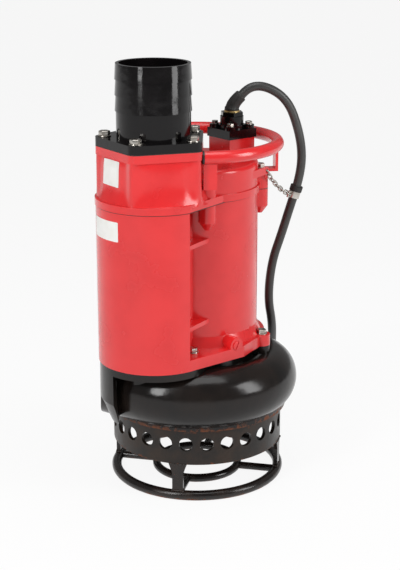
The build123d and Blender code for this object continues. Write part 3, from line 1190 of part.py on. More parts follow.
def all_nodes():
    """Every piece by its name, in the order in which the pump is put together."""
    frame_bolt_top = FRAME_BOTTOM + FRAME_FLANGE
    return {
        "base_ring": base_ring(),
        "stand_legs": stand_legs(),
        "guard_ring": guard_ring(),
        "guard_spokes": guard_spokes(),
        "strainer": strainer(),
        "strainer_bolts": upward_bolts(M8, SKIRT_FLANGE + CASING_FOOT_THICKNESS - 4, STRAINER_PLACES,
                                       CASING_BOTTOM - SKIRT_FLANGE),
        "suction_cover": suction_cover(),
        "suction_bolts": upward_bolts(M10, SKIRT_FLANGE + BOLT_BITE - 3, SUCTION_PLACES,
                                      CASING_BOTTOM - SKIRT_FLANGE),
        "volute_casing": volute_casing(),
        "agitator_nut": agitator_nut(),
        "agitator": agitator(),
        "impeller": impeller(),
        "oil_casing": oil_casing(),
        "oil_casing_bolts": bolts_at(M10, OIL_FLANGE + BOLT_BITE - 3, OIL_PLACES, DRUM_TOP + OIL_FLANGE),
        "seal_seats": seal_seats(),
        "seal_rotating_rings": seal_rotating_rings(),
        "seal_bellows": seal_bellows(),
        "shaft": shaft(),
        "lower_bearing_bracket": lower_bearing_bracket(),
        "lower_bearing_outer_race": outer_race(LOWER_BEARING),
        "lower_bearing_inner_race": inner_race(LOWER_BEARING),
        "lower_bearing_balls": ball_set(LOWER_BEARING),
        "bearing_retainer": bearing_retainer(),
        "rotor_core": rotor_core(),
        "stator_core": stator_core(),
        "stator_windings": stator_windings(),
        "upper_bearing_bracket": upper_bearing_bracket(),
        "upper_bearing_outer_race": outer_race(UPPER_BEARING),
        "upper_bearing_inner_race": inner_race(UPPER_BEARING),
        "upper_bearing_balls": ball_set(UPPER_BEARING),
        "motor_frame": motor_frame(),
        "frame_bolts": bolts_at(M12, FRAME_FLANGE + NECK_HEIGHT * 0.6, POCKET_BOLTS + FRAME_EARS, frame_bolt_top),
        "oil_plug": oil_plug(),
        "head_gasket": head_gasket(),
        "head_cover": head_cover(),
        "discharge_gasket": discharge_gasket(),
        "discharge_coupling": discharge_coupling(),
        "discharge_bolts": bolts_at(M14, COUPLING_FLANGE + GASKET + BOLT_BITE, DISCHARGE_BOLTS,
                                    COUPLING_BOTTOM + COUPLING_FLANGE),
        "entry_cover": entry_cover(),
        "entry_bolts": [ENTRY_FRAME * bolt for bolt in bolts_at(
            M8, ENTRY_CORNER_HEIGHT + BOLT_BITE - 3, ENTRY_BOLTS, ENTRY_COVER_TOP)],
        "cable_gland": cable_gland(),
        "gland_nut": gland_nut(),
        "gland_ring": gland_ring(),
        "cable_boot": cable_boot(),
        "handle_tube": handle_arc(HANDLE_TUBE_RADIUS),
        "handle_caps": handle_caps(),
        "handle_brackets": handle_brackets(),
        "head_bolts": bolts_at(M12, BRACKET_THICKNESS + HEAD_EAR_HEIGHT + GASKET + BOLT_BITE, HEAD_EARS,
                               BRACKET_FOOT_TOP),
        "restraint_chain": restraint_chain(),
        "cable_clamp": cable_clamp(),
        "clamp_sleeve": clamp_sleeve(),
        "power_cable": power_cable(),
        "cable_coil": cable_coil(),
        "coil_ties": coil_ties(),
        "cable_end_sleeve": cable_end_sleeve(),
        "cable_cores": cable_cores(),
    }


os.makedirs("parts", exist_ok=True)
for name, shape in all_nodes().items():
    pieces = solids_of(shape)
    body = pieces[0] if len(pieces) == 1 else Compound(pieces)
    export_step(body, f"parts/{name}.step")
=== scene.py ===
"""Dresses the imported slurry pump: camera, light, finishes, power cable and small fittings.

Lengths are in metres in the pump's own frame, except where a name or docstring says millimetres.
The shaft stands on Z, the floor is at zero and the discharge column stands towards -X.
"""

import logging
import math
import random
from dataclasses import dataclass
from enum import Enum
from typing import Any, Sequence

import bmesh
import bpy
from mathutils import Matrix, Vector


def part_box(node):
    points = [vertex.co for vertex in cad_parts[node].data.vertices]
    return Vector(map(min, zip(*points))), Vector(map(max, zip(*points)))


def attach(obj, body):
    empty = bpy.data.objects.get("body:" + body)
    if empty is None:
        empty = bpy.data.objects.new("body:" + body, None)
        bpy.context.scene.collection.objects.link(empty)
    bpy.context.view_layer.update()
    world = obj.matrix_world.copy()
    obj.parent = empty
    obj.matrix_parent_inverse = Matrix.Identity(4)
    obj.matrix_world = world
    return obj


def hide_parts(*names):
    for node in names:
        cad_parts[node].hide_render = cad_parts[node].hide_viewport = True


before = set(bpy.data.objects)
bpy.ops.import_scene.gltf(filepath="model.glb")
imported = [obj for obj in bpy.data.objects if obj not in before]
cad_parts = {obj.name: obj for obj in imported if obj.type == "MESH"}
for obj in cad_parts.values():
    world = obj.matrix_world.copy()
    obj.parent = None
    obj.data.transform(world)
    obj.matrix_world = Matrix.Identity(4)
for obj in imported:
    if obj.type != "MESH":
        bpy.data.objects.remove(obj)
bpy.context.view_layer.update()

LOG = logging.getLogger("slurry_pump")
MM = 0.001
CASING = "casing"
COLUMN_X = -150 * MM

BMesh = bmesh.types.BMesh
Socket = bpy.types.NodeSocket
Pair = tuple[float, float]


# Small helpers

def linear(colour: str) -> tuple[float, float, float, float]:
    """Turns an sRGB hex colour into linear RGBA.

    Args:
        colour: a colour such as "#C8281E".

    Returns:
        The linear red, green, blue and an alpha of one.
    """
    parts = [int(colour[i:i + 2], 16) / 255 for i in (1, 3, 5)]
    red, green, blue = (c / 12.92 if c <= 0.04045 else ((c + 0.055) / 1.055) ** 2.4 for c in parts)
    return red, green, blue, 1.0


def polar(radius: float, degrees: float, height: float = 0.0) -> Vector:
    """Gives a point by its radius, angle and height.

    Args:
        radius: distance from the axis.
        degrees: angle about the axis, from +X.
        height: level along the axis.

    Returns:
        The point.
    """
    turn = math.radians(degrees)
    return Vector((radius * math.cos(turn), radius * math.sin(turn), height))


def along(direction: Vector) -> Matrix:
    """Gives the rotation that turns +Z to a direction.

    Args:
        direction: where +Z ends up.

    Returns:
        The rotation.
    """
    return Vector(direction).to_track_quat("Z", "Y").to_matrix().to_4x4()


def add_object(name: str, data: bpy.types.ID) -> bpy.types.Object:
    """Puts a new object into the scene.

    Args:
        name: the object's name.
        data: its mesh, curve, lamp or camera.

    Returns:
        The object.
    """
    made = bpy.data.objects.new(name, data)
    bpy.context.scene.collection.objects.link(made)
    return made


def mesh_data(name: str, mesh: BMesh) -> bpy.types.Mesh:
    """Writes a bmesh to new mesh data.

    Args:
        name: the data's name.
        mesh: the shape; it is freed.

    Returns:
        The mesh data.
    """
    data = bpy.data.meshes.new(name)
    mesh.to_mesh(data)
    mesh.free()
    return data


# Shader nodes

SMOOTH = {"interpolation_type": "SMOOTHSTEP"}
# Places of the Mix node's two inputs and its output, by the type of what it mixes.
MIX_SOCKETS = {"FLOAT": (2, 3, 0), "RGBA": (6, 7, 2)}


class Graph:
    """A material's or world's node tree, with short ways to add nodes."""

    def __init__(self, owner: bpy.types.Material | bpy.types.World) -> None:
        """Starts with an empty tree.

        Args:
            owner: the material or world.
        """
        owner.use_nodes = True
        self.tree = owner.node_tree
        self.tree.nodes.clear()

    def node(self, kind: str, settings: dict[str, Any] | None = None,
             **inputs: Any) -> bpy.types.Node:
        """Adds one shader node with its settings, values and links.

        Args:
            kind: the node's type name, without ShaderNode.
            settings: attributes to set on the node.
            inputs: values or output sockets by input name, with _ for a space, or i0, i1 by index.

        Returns:
            The new node.
        """
        node = self.tree.nodes.new("ShaderNode" + kind)
        for key, value in (settings or {}).items():
            setattr(node, key, value)
        for key, value in inputs.items():
            by_index = key[0] == "i" and key[1:].isdigit()
            socket = node.inputs[int(key[1:]) if by_index else key.replace("_", " ")]
            if isinstance(value, Socket):
                self.tree.links.new(value, socket)
            else:
                socket.default_value = value
        return node

    def noise(self, place: Socket, size_mm: float, detail: float, **more: float) -> Socket:
        """Adds a noise pattern in a real size.

        Args:
            place: socket with the coordinates.
            size_mm: size of the pattern.
            detail: octaves of finer noise.
            more: other inputs of the noise node.

        Returns:
            The pattern's value.
        """
        pattern = self.node("TexNoise", Vector=place, Scale=1 / (size_mm * MM), Detail=detail,
                            **more)
        return pattern.outputs["Fac"]

    def carry(self, value: Socket, edges: Pair, span: Pair = (0.0, 1.0),
              settings: dict[str, Any] | None = None) -> Socket:
        """Carries a value from one range to another.

        Args:
            value: the value.
            edges: where the value's range starts and ends.
            span: what those two become.
            settings: attributes to set on the node.

        Returns:
            The carried value.
        """
        carried = self.node("MapRange", settings, Value=value, From_Min=edges[0],
                            From_Max=edges[1], To_Min=span[0], To_Max=span[1])
        return carried.outputs["Result"]

    def mix(self, kind: str, share: Socket, first: Any, second: Any) -> Socket:
        """Mixes two colours or numbers.

        Args:
            kind: a key of MIX_SOCKETS.
            share: how much of the second shows.
            first: a socket or value.
            second: a socket or value.

        Returns:
            The mixture.
        """
        one, two, out = MIX_SOCKETS[kind]
        mixed = self.node("Mix", {"data_type": kind}, i0=share,
                          **{f"i{one}": first, f"i{two}": second})
        return mixed.outputs[out]

    def maths(self, operation: str, first: Socket, second: Socket | float) -> Socket:
        """Works out a number from two others.

        Args:
            operation: Blender's name of the operation.
            first: the first number.
            second: the second number.

        Returns:
            The result.
        """
        return self.node("Math", {"operation": operation}, i0=first, i1=second).outputs["Value"]


# Finishes

# Octaves of the clouds, of the fine grain and of the slow waves.
CLOUD_DETAIL, GRAIN_DETAIL, WAVE_DETAIL = 4.0, 3.0, 1.0
# Cloud values between which the second tone comes in, and between which roughness wanders.
TINT_EDGES, GLOSS_EDGES = (0.35, 0.7), (0.3, 0.7)
LEAST_ROUGHNESS = 0.02
COAT_ROUGHNESS = 0.16
# Rust: its own look, the noise that breaks it up, and the values between which it covers the paint.
RUST_COLOUR, RUST_ROUGHNESS = "#7A4222", 0.8
RUST_SPECK_MM, RUST_DETAIL, RUST_RAGGEDNESS = 16, 6.0, 0.65
RUST_EDGES = (0.72, 0.95)


@dataclass(frozen=True)
class RustBand:
    """Rust that creeps from one level to another.

    Attributes:
        full: level at which the rust is thickest.
        gone: level at which it has faded away.
        share: how much of the surface it takes where it is thickest.
    """
    full: float
    gone: float
    share: float


@dataclass(frozen=True)
class Finish:
    """One real surface, drawn with noise patterns in real sizes.

    Attributes:
        name: the material and how its surface was made.
        colour: main sRGB colour.
        tint: sRGB colour of the cloudy second tone.
        tint_mm: size of the clouds.
        roughness: mean roughness.
        tint_share: strength of the second tone.
        spread: how far roughness wanders to each side of its mean.
        metallic: one for bare metal.
        coat: weight of a clear gloss layer.
        shine: specular level, half for most dielectrics.
        grain_mm: size of the fine surface grain.
        grain_depth_mm: height of the fine grain.
        wave_mm: size of the slow unevenness left by casting or moulding.
        wave_depth_mm: height of the slow unevenness.
        stretch: scale of the grain along X, Y and Z, for brushed or drawn metal.
        rust: bands of rust, if any.
    """
    name: str
    colour: str
    tint: str
    tint_mm: float
    roughness: float
    tint_share: float = 0.4
    spread: float = 0.08
    metallic: float = 0.0
    coat: float = 0.0
    shine: float = 0.5
    grain_mm: float = 2.0
    grain_depth_mm: float = 0.05
    wave_mm: float = 30.0
    wave_depth_mm: float = 0.0
    stretch: tuple[float, float, float] = (1.0, 1.0, 1.0)
    rust: tuple[RustBand, ...] = ()

    def build(self) -> bpy.types.Material:
        """Makes the node material.

        Returns:
            The finished material.
        """
        material = bpy.data.materials.new(self.name)
        graph = Graph(material)
        place = graph.node("TexCoord").outputs["Object"]
        cloud = graph.noise(place, self.tint_mm, CLOUD_DETAIL)
        tone = graph.carry(cloud, TINT_EDGES, (0.0, self.tint_share), SMOOTH)
        colour = graph.mix("RGBA", tone, linear(self.colour), linear(self.tint))
        glossiest = max(LEAST_ROUGHNESS, self.roughness - self.spread)
        dullest = min(1.0, self.roughness + self.spread)
        roughness = graph.carry(cloud, GLOSS_EDGES, (glossiest, dullest), SMOOTH)
        if self.rust:
            colour, roughness = self.add_rust(graph, place, colour, roughness)
        shader = graph.node("BsdfPrincipled", Base_Color=colour, Roughness=roughness,
                            Metallic=self.metallic, Normal=self.add_relief(graph, place),
                            Specular_IOR_Level=self.shine)
        if self.coat:
            shader.inputs["Coat Weight"].default_value = self.coat
            shader.inputs["Coat Roughness"].default_value = COAT_ROUGHNESS
        graph.node("OutputMaterial", Surface=shader.outputs["BSDF"])
        return material

    def add_relief(self, graph: Graph, place: Socket) -> Socket:
        """Raises the fine grain and, where there are any, the slow waves.

        Args:
            graph: the material's nodes.
            place: socket with the object coordinates.

        Returns:
            The surface's normal.
        """
        stretched = graph.node("Mapping", Vector=place, Scale=self.stretch)
        grain = graph.noise(stretched.outputs["Vector"], self.grain_mm, GRAIN_DETAIL)
        bump = graph.node("Bump", Height=grain, Distance=self.grain_depth_mm * MM)
        if self.wave_depth_mm:
            wave = graph.noise(place, self.wave_mm, WAVE_DETAIL)
            bump = graph.node("Bump", Height=wave, Distance=self.wave_depth_mm * MM,
                              Normal=bump.outputs["Normal"])
        return bump.outputs["Normal"]

    def add_rust(self, graph: Graph, place: Socket, colour: Socket,
                 roughness: Socket) -> tuple[Socket, Socket]:
        """Lays the rust bands over a colour.

        Args:
            graph: the material's nodes.
            place: socket with the object coordinates.
            colour: the paint's colour.
            roughness: the paint's roughness.

        Returns:
            Colour and roughness with the rust on top.
        """
        level = graph.node("SeparateXYZ", Vector=place).outputs["Z"]
        speck = graph.noise(place, RUST_SPECK_MM, RUST_DETAIL, Roughness=RUST_RAGGEDNESS)
        for band in self.rust:
            fade = graph.carry(level, (band.gone, band.full), (0.0, band.share))
            cover = graph.carry(graph.maths("ADD", speck, fade), RUST_EDGES)
            colour = graph.mix("RGBA", cover, colour, linear(RUST_COLOUR))
            roughness = graph.mix("FLOAT", cover, roughness, RUST_ROUGHNESS)
        return colour, roughness


class Surface(Enum):
    """The pump's surfaces, each named for the real material."""

    # Air-dried gloss enamel sprayed on a sand casting: a wet gloss over a slow, uneven skin.
    RED_ENAMEL = Finish(
        "red_gloss_enamel", "#E0282A", "#CE1C20", tint_mm=80, tint_share=0.5, roughness=0.24,
        spread=0.05, coat=0.3, grain_mm=2.6, grain_depth_mm=0.04, wave_mm=34, wave_depth_mm=0.12)
    # The same enamel on bent tube and flat bar, which is smoother below.
    RED_BAR = Finish(
        "red_enamel_on_bar", "#E0282A", "#D02024", tint_mm=60, roughness=0.22, spread=0.05,
        coat=0.35, grain_depth_mm=0.03, wave_mm=40, wave_depth_mm=0.15)
    # Thick black gloss enamel on turned iron: near-mirror with a fine orange peel.
    BLACK_ENAMEL = Finish(
        "black_gloss_enamel", "#0C0A0B", "#151213", tint_mm=40, tint_share=0.5, roughness=0.1,
        spread=0.03, shine=0.3, grain_mm=2.4, grain_depth_mm=0.04, wave_mm=22, wave_depth_mm=0.25)
    # Black bitumen paint on rough sand-cast iron: half gloss, brown where it is thin.
    BLACK_CASTING = Finish(
        "black_paint_on_cast_iron", "#120F0E", "#241B16", tint_mm=70, tint_share=0.5,
        roughness=0.18, spread=0.05, shine=0.36, grain_mm=2.2, grain_depth_mm=0.09, wave_mm=26,
        wave_depth_mm=0.4, rust=(RustBand(full=0.164, gone=0.184, share=0.32),))
    # The strainer is the same paint, brown from standing wet, with rust at both rims.
    STRAINER_PAINT = Finish(
        "worn_black_paint_on_iron", "#1B1613", "#33261D", tint_mm=45, tint_share=0.8,
        roughness=0.36, spread=0.1, shine=0.35, grain_depth_mm=0.12, wave_mm=20, wave_depth_mm=0.3,
        rust=(RustBand(full=0.164, gone=0.146, share=0.30),
              RustBand(full=0.084, gone=0.094, share=0.26)))
    # Hot-bent bar, painted black and rubbed to rust where it stands on the ground.
    STAND_PAINT = Finish(
        "black_paint_on_bent_bar", "#171312", "#2B1F19", tint_mm=40, tint_share=0.7, roughness=0.24,
        shine=0.45, grain_depth_mm=0.06, wave_mm=24, wave_depth_mm=0.25,
        rust=(RustBand(full=0.0, gone=0.012, share=0.45),))
    # High-chrome iron, cast and left bare: dark grey and gritty.
    WEAR_IRON = Finish(
        "bare_high_chrome_iron", "#5A5652", "#4A3C32", tint_mm=30, tint_share=0.6, roughness=0.55,
        spread=0.1, metallic=0.7, grain_mm=1.8, grain_depth_mm=0.16)
    # Machined grey iron inside the motor.
    BARE_IRON = Finish(
        "machined_grey_iron", "#77736E", "#66625C", tint_mm=30, roughness=0.45, metallic=0.8,
        grain_mm=1.2, grain_depth_mm=0.03)
    # Stainless bolts, clamp and chain: cold formed, softly bright, a little tarnished.
    STAINLESS = Finish(
        "cold_formed_stainless", "#C9C5BE", "#9A9084", tint_mm=14, tint_share=0.5, roughness=0.28,
        metallic=1.0, grain_mm=0.9, grain_depth_mm=0.02)
    # Ground shaft steel, with fine turning marks round its axis.
    SHAFT_STEEL = Finish(
        "ground_shaft_steel", "#B9B7B3", "#A6A29C", tint_mm=20, tint_share=0.3, roughness=0.24,
        spread=0.06, metallic=1.0, grain_mm=1.4, grain_depth_mm=0.02, stretch=(0.2, 0.2, 3.0))
    # Hardened bearing steel, polished.
    BEARING_STEEL = Finish(
        "polished_bearing_steel", "#D6D6D4", "#C4C4C4", tint_mm=20, tint_share=0.2, roughness=0.12,
        spread=0.03, metallic=1.0, grain_depth_mm=0.005)
    # Stacked electrical sheet: thin level lines of dull blue-grey.
    LAMINATIONS = Finish(
        "stacked_electrical_sheet", "#5C6066", "#474A50", tint_mm=24, roughness=0.5, metallic=0.9,
        grain_depth_mm=0.1, stretch=(0.02, 0.02, 1.0))
    # Varnished copper end turns: brown-red, strands round the axis.
    WINDINGS = Finish(
        "varnished_copper_winding", "#9A4A22", "#6E3216", tint_mm=10, tint_share=0.6,
        roughness=0.35, spread=0.1, metallic=0.6, grain_mm=2.4, grain_depth_mm=0.5,
        stretch=(0.3, 0.3, 2.0))
    # Silicon carbide seal faces, lapped.
    SEAL_FACE = Finish(
        "lapped_silicon_carbide", "#3A3B3F", "#2C2D31", tint_mm=12, roughness=0.2, spread=0.05,
        grain_depth_mm=0.005)
    # Moulded carbon seal rings.
    SEAL_CARBON = Finish(
        "moulded_seal_carbon", "#1B1B1D", "#232326", tint_mm=12, roughness=0.5, grain_depth_mm=0.02)
    # Compressed fibre gasket sheet.
    GASKET = Finish(
        "compressed_fibre_sheet", "#2B2725", "#3A332D", tint_mm=8, tint_share=0.6, roughness=0.8,
        grain_mm=1.0, grain_depth_mm=0.06)
    # Moulded chloroprene: the boot, bellows and clamp sleeve are matt and very dark.
    RUBBER = Finish(
        "moulded_black_rubber", "#242322", "#2F2D2B", tint_mm=18, tint_share=0.5, roughness=0.58,
        grain_mm=1.2)
    # Extruded chloroprene cable jacket: dark grey with a soft even sheen and a chalky bloom.
    CABLE_JACKET = Finish(
        "extruded_cable_jacket", "#343433", "#454543", tint_mm=50, tint_share=0.6, roughness=0.42,
        spread=0.07, grain_mm=1.5, grain_depth_mm=0.03, wave_mm=40, wave_depth_mm=0.1)
    # Cast brass gland ring, dulled to cream.
    BRASS = Finish(
        "dulled_cast_brass", "#CDB27A", "#B7965C", tint_mm=8, tint_share=0.6, roughness=0.36,
        metallic=0.7, grain_mm=1.0, grain_depth_mm=0.04)
    # Moulded polyethylene end caps and straps.
    DARK_CAP = Finish(
        "moulded_black_polyethylene", "#1E1D1D", "#282727", tint_mm=20, roughness=0.45, spread=0.06,
        grain_depth_mm=0.03)
    # Extruded core insulation.
    CORE = Finish(
        "extruded_core_insulation", "#6B4226", "#5A3620", tint_mm=20, roughness=0.4, spread=0.05,
        grain_depth_mm=0.01)
    # Bare printed-film plate, left blank: flat white, a little yellow and soft.
    BARE_PLATE = Finish(
        "blank_white_film", "#EFEFEC", "#E2E0D9", tint_mm=24, tint_share=0.5, roughness=0.42,
        spread=0.06, grain_mm=1.5, grain_depth_mm=0.01)
    # Bead of stick weld under black paint.
    WELD = Finish(
        "painted_weld_bead", "#231D1B", "#3A2A20", tint_mm=6, tint_share=0.7, roughness=0.38,
        spread=0.1, grain_mm=1.4, grain_depth_mm=0.12)


NODE_SURFACES: dict[Surface, tuple[str, ...]] = {
    Surface.RED_ENAMEL: ("motor_frame", "head_cover", "oil_plug"),
    Surface.RED_BAR: ("handle_tube", "handle_brackets"),
    Surface.BLACK_ENAMEL: ("discharge_coupling", "entry_cover", "cable_gland", "gland_nut"),
    Surface.BLACK_CASTING: ("volute_casing", "oil_casing"),
    Surface.STRAINER_PAINT: ("strainer",),
    Surface.STAND_PAINT: ("base_ring", "stand_legs", "guard_ring", "guard_spokes"),
    Surface.WEAR_IRON: ("suction_cover", "agitator", "impeller"),
    Surface.BARE_IRON: ("lower_bearing_bracket", "upper_bearing_bracket"),
    Surface.STAINLESS: ("strainer_bolts", "suction_bolts", "agitator_nut", "oil_casing_bolts",
                        "frame_bolts", "discharge_bolts", "entry_bolts", "head_bolts",
                        "restraint_chain", "cable_clamp"),
    Surface.SHAFT_STEEL: ("shaft", "bearing_retainer"),
    Surface.BEARING_STEEL: ("lower_bearing_outer_race", "lower_bearing_inner_race",
                            "lower_bearing_balls", "upper_bearing_outer_race",
                            "upper_bearing_inner_race", "upper_bearing_balls"),
    Surface.LAMINATIONS: ("rotor_core", "stator_core"),
    Surface.WINDINGS: ("stator_windings",),
    Surface.SEAL_FACE: ("seal_seats",),
    Surface.SEAL_CARBON: ("seal_rotating_rings",),
    Surface.GASKET: ("head_gasket", "discharge_gasket"),
    Surface.RUBBER: ("seal_bellows", "cable_boot", "clamp_sleeve"),
    Surface.CABLE_JACKET: ("power_cable", "cable_coil"),
    Surface.BRASS: ("gland_ring",),
    Surface.DARK_CAP: ("handle_caps", "coil_ties", "cable_end_sleeve"),
    Surface.CORE: ("cable_cores",),
}


class Paintbox:
    """Makes each material once and hands it out."""

    def __init__(self) -> None:
        """Starts with no material made."""
        self.made: dict[Surface, bpy.types.Material] = {}

    def get(self, surface: Surface) -> bpy.types.Material:
        """Gives the material of a surface, making it at first use.

        Args:
            surface: which surface.

        Returns:
            Its material.
        """
        if surface not in self.made:
            self.made[surface] = surface.value.build()
        return self.made[surface]

    def dress_nodes(self) -> None:
        """Puts each CAD node's finish on it."""
        for surface, names in NODE_SURFACES.items():
            for name in names:
                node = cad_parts[name]
                node.data.materials.clear()
                node.data.materials.append(self.get(surface))
                LOG.info("node %s in %s", name, surface.value.name)


PAINTBOX = Paintbox()


# Pieces

ROUND_PROFILE = 0.5


def make_piece(name: str, mesh: BMesh, surface: Surface,
               sharp: float) -> bpy.types.Object:
    """Turns a bmesh into a piece that rides on the casing.

    Args:
        name: the piece's name.
        mesh: its shape, in place; it is freed.
        surface: its finish.
        sharp: edges sharper than this many degrees stay sharp.

    Returns:
        The new object.
    """
    bmesh.ops.recalc_face_normals(mesh, faces=mesh.faces)
    data = mesh_data(name, mesh)
    data.shade_smooth()
    data.set_sharp_from_angle(angle=math.radians(sharp))
    data.materials.append(PAINTBOX.get(surface))
    piece = add_object(name, data)
    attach(piece, CASING)
    LOG.info("piece %s, %d faces", name, len(data.polygons))
    return piece


def soften(mesh: BMesh, geom: list[Any], width: float, steps: int,
           affect: str = "EDGES") -> None:
    """Rounds off edges or corners.

    Args:
        mesh: the bmesh that holds them.
        geom: the edges or corner points.
        width: width of the rounding.
        steps: faces across it.
        affect: "EDGES" or "VERTICES".
    """
    bmesh.ops.bevel(mesh, geom=geom, offset=width, offset_type="OFFSET", segments=steps,
                    profile=ROUND_PROFILE, affect=affect, material=-1)


def add_drum(mesh: BMesh, place: Matrix, radius: float, bottom: float, top: float,
             sides: int, edge: float = 0.0) -> None:
    """Adds a closed drum with softened end edges.

    Args:
        mesh: the bmesh that takes it.
        place: where its axis stands.
        radius: its radius.
        bottom: its lower level along the axis.
        top: its upper level along the axis.
        sides: sides round it.
        edge: width of the softened edges.
    """
    centre = place @ Matrix.Translation((0, 0, (bottom + top) / 2))
    made = bmesh.ops.create_cone(mesh, cap_ends=True, segments=sides, radius1=radius,
                                 radius2=radius, depth=top - bottom, matrix=centre)
    if edge:
        caps = {f for v in made["verts"] for f in v.link_faces if len(f.verts) == sides}
        soften(mesh, list({e for f in caps for e in f.edges}), edge, steps=2)


# Power cable

@dataclass
class PowerCable:
    """The rubber cable from the gland over the clamp to its put-away coil.

    Attributes:
        radius: half the jacket's diameter.
        length: the whole cable; not used.
        gland: centre of the gland ring's top.
        boot: length of the moulded boot's foot.
        route: points of the free run after the gland, in millimetres.
        coil_centre: middle of the coil on the floor, in millimetres.
        lay: radius and height of each turn in the order of laying, in millimetres.
        start: angle at which the run joins the coil.
        turns: turns in the coil.
        points: control points to a turn.
        crossing: share of a turn, at its end, over which it crosses to the next one.
        floor_turn: level below which a turn lies on the floor, in millimetres.
        pressed: how far floor turns are pressed in beside the loose end, in millimetres.
        pressed_angle: where they are pressed most.
        eased_points: control points at the loose end over which the pressing fades.
        smoothness: drawn steps between two control points.
        roundness: Blender's measure of the steps round the section.
        order: order of the NURBS line.
    """
    radius: float = 9.8 * MM
    length: float = 10.0
    gland: Vector = Vector((93.47 * MM, -25.92 * MM, 808.5 * MM))
    boot: float = 14 * MM
    route: tuple[tuple[float, float, float], ...] = (
        (109, -47, 855), (142, -77, 862), (182, -113, 828), (203, -130, 758), (211, -135, 700),
        (208, -129, 647), (199, -112, 583), (190, -97, 522), (179, -79, 456), (181, -69, 368),
        (212, -62, 301), (262, -30, 228), (315, 6, 150), (364, 42, 92), (406, 79, 61),
    )
    coil_centre: Pair = (344.1, 249.5)
    lay: tuple[Pair, ...] = (
        (174, 50), (154, 50), (134, 50), (134, 30), (134, 10.2), (154, 10.2), (154, 30), (174, 30),
        (174, 10.2), (194.3, 10.6),
    )
    start: float = -54.0
    turns: float = 9.2
    points: int = 18
    crossing: float = 0.28
    floor_turn: float = 20.0
    pressed: float = 9.0
    pressed_angle: float = -10.0
    eased_points: int = 2
    smoothness: int = 8
    roundness: int = 6
    order: int = 3

    def exit(self) -> Vector:
        """Finds where the jacket leaves the boot's foot.

        Returns:
            That point.
        """
        first = Vector(self.route[0]) * MM
        return self.gland + (first - self.gland).normalized() * self.boot

    def coil_points(self) -> list[Vector]:
        """Lays the coil's turns one beside and under another.

        Returns:
            Control points from the first turn to the loose end.
        """
        found = []
        count = round(self.turns * self.points)
        for i in range(count + 1):
            turn, share = divmod(i / self.points, 1.0)
            here = self.lay[int(turn)]
            after = self.lay[min(int(turn) + 1, len(self.lay) - 1)]
            mix = max(0.0, (share - 1 + self.crossing) / self.crossing)
            radius, height = (a + (b - a) * mix for a, b in zip(here, after))
            angle = self.start + 360 * i / self.points
            if height < self.floor_turn:
                beside = max(0.0, math.cos(math.radians(angle - self.pressed_angle)))
                radius -= self.pressed * beside * min(1.0, (count - i) / self.eased_points)
            spot = polar(radius, angle, height)
            found.append((spot + Vector((*self.coil_centre, 0))) * MM)
        return found

    def control_points(self) -> list[Vector]:
        """Joins the run and the coil.

        Returns:
            The whole cable's control points, from the boot to the loose end.
        """
        return [self.exit()] + [Vector(p) * MM for p in self.route] + self.coil_points()

    def curve(self, name: str, bevel: float) -> bpy.types.Object:
        """Makes the cable's smooth line.

        Args:
            name: the object's name.
            bevel: radius of the round section, or zero for the bare line.

        Returns:
            The curve object.
        """
        data = bpy.data.curves.new(name, "CURVE")
        data.dimensions = "3D"
        data.resolution_u = self.smoothness
        data.bevel_depth = bevel
        data.bevel_resolution = self.roundness
        data.use_fill_caps = bool(bevel)
        points = self.control_points()
        spline = data.splines.new("NURBS")
        spline.points.add(len(points) - 1)
        for knot, spot in zip(spline.points, points):
            knot.co = (*spot, 1.0)
        spline.order_u = self.order
        spline.use_endpoint_u = True
        return add_object(name, data)

    def line(self) -> list[Vector]:
        """Reads the points of the smooth line.

        Returns:
            Points along the centreline, from the boot on.
        """
        bare = self.curve("cable_line", 0.0)
        bpy.context.view_layer.update()
        drawn = bare.evaluated_get(bpy.context.evaluated_depsgraph_get())
        mesh = bpy.data.meshes.new_from_object(drawn)
        found = [v.co.copy() for v in mesh.vertices]
        bpy.data.meshes.remove(mesh)
        bpy.data.objects.remove(bare)
        return found

    def build(self) -> None:
        cable = self.curve("power_cable_jacket", self.radius)
        cable.data.materials.append(PAINTBOX.get(Surface.CABLE_JACKET))
        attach(cable, CASING)
        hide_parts("power_cable", "cable_coil")
        LOG.info("power cable, %d control points", len(self.control_points()))


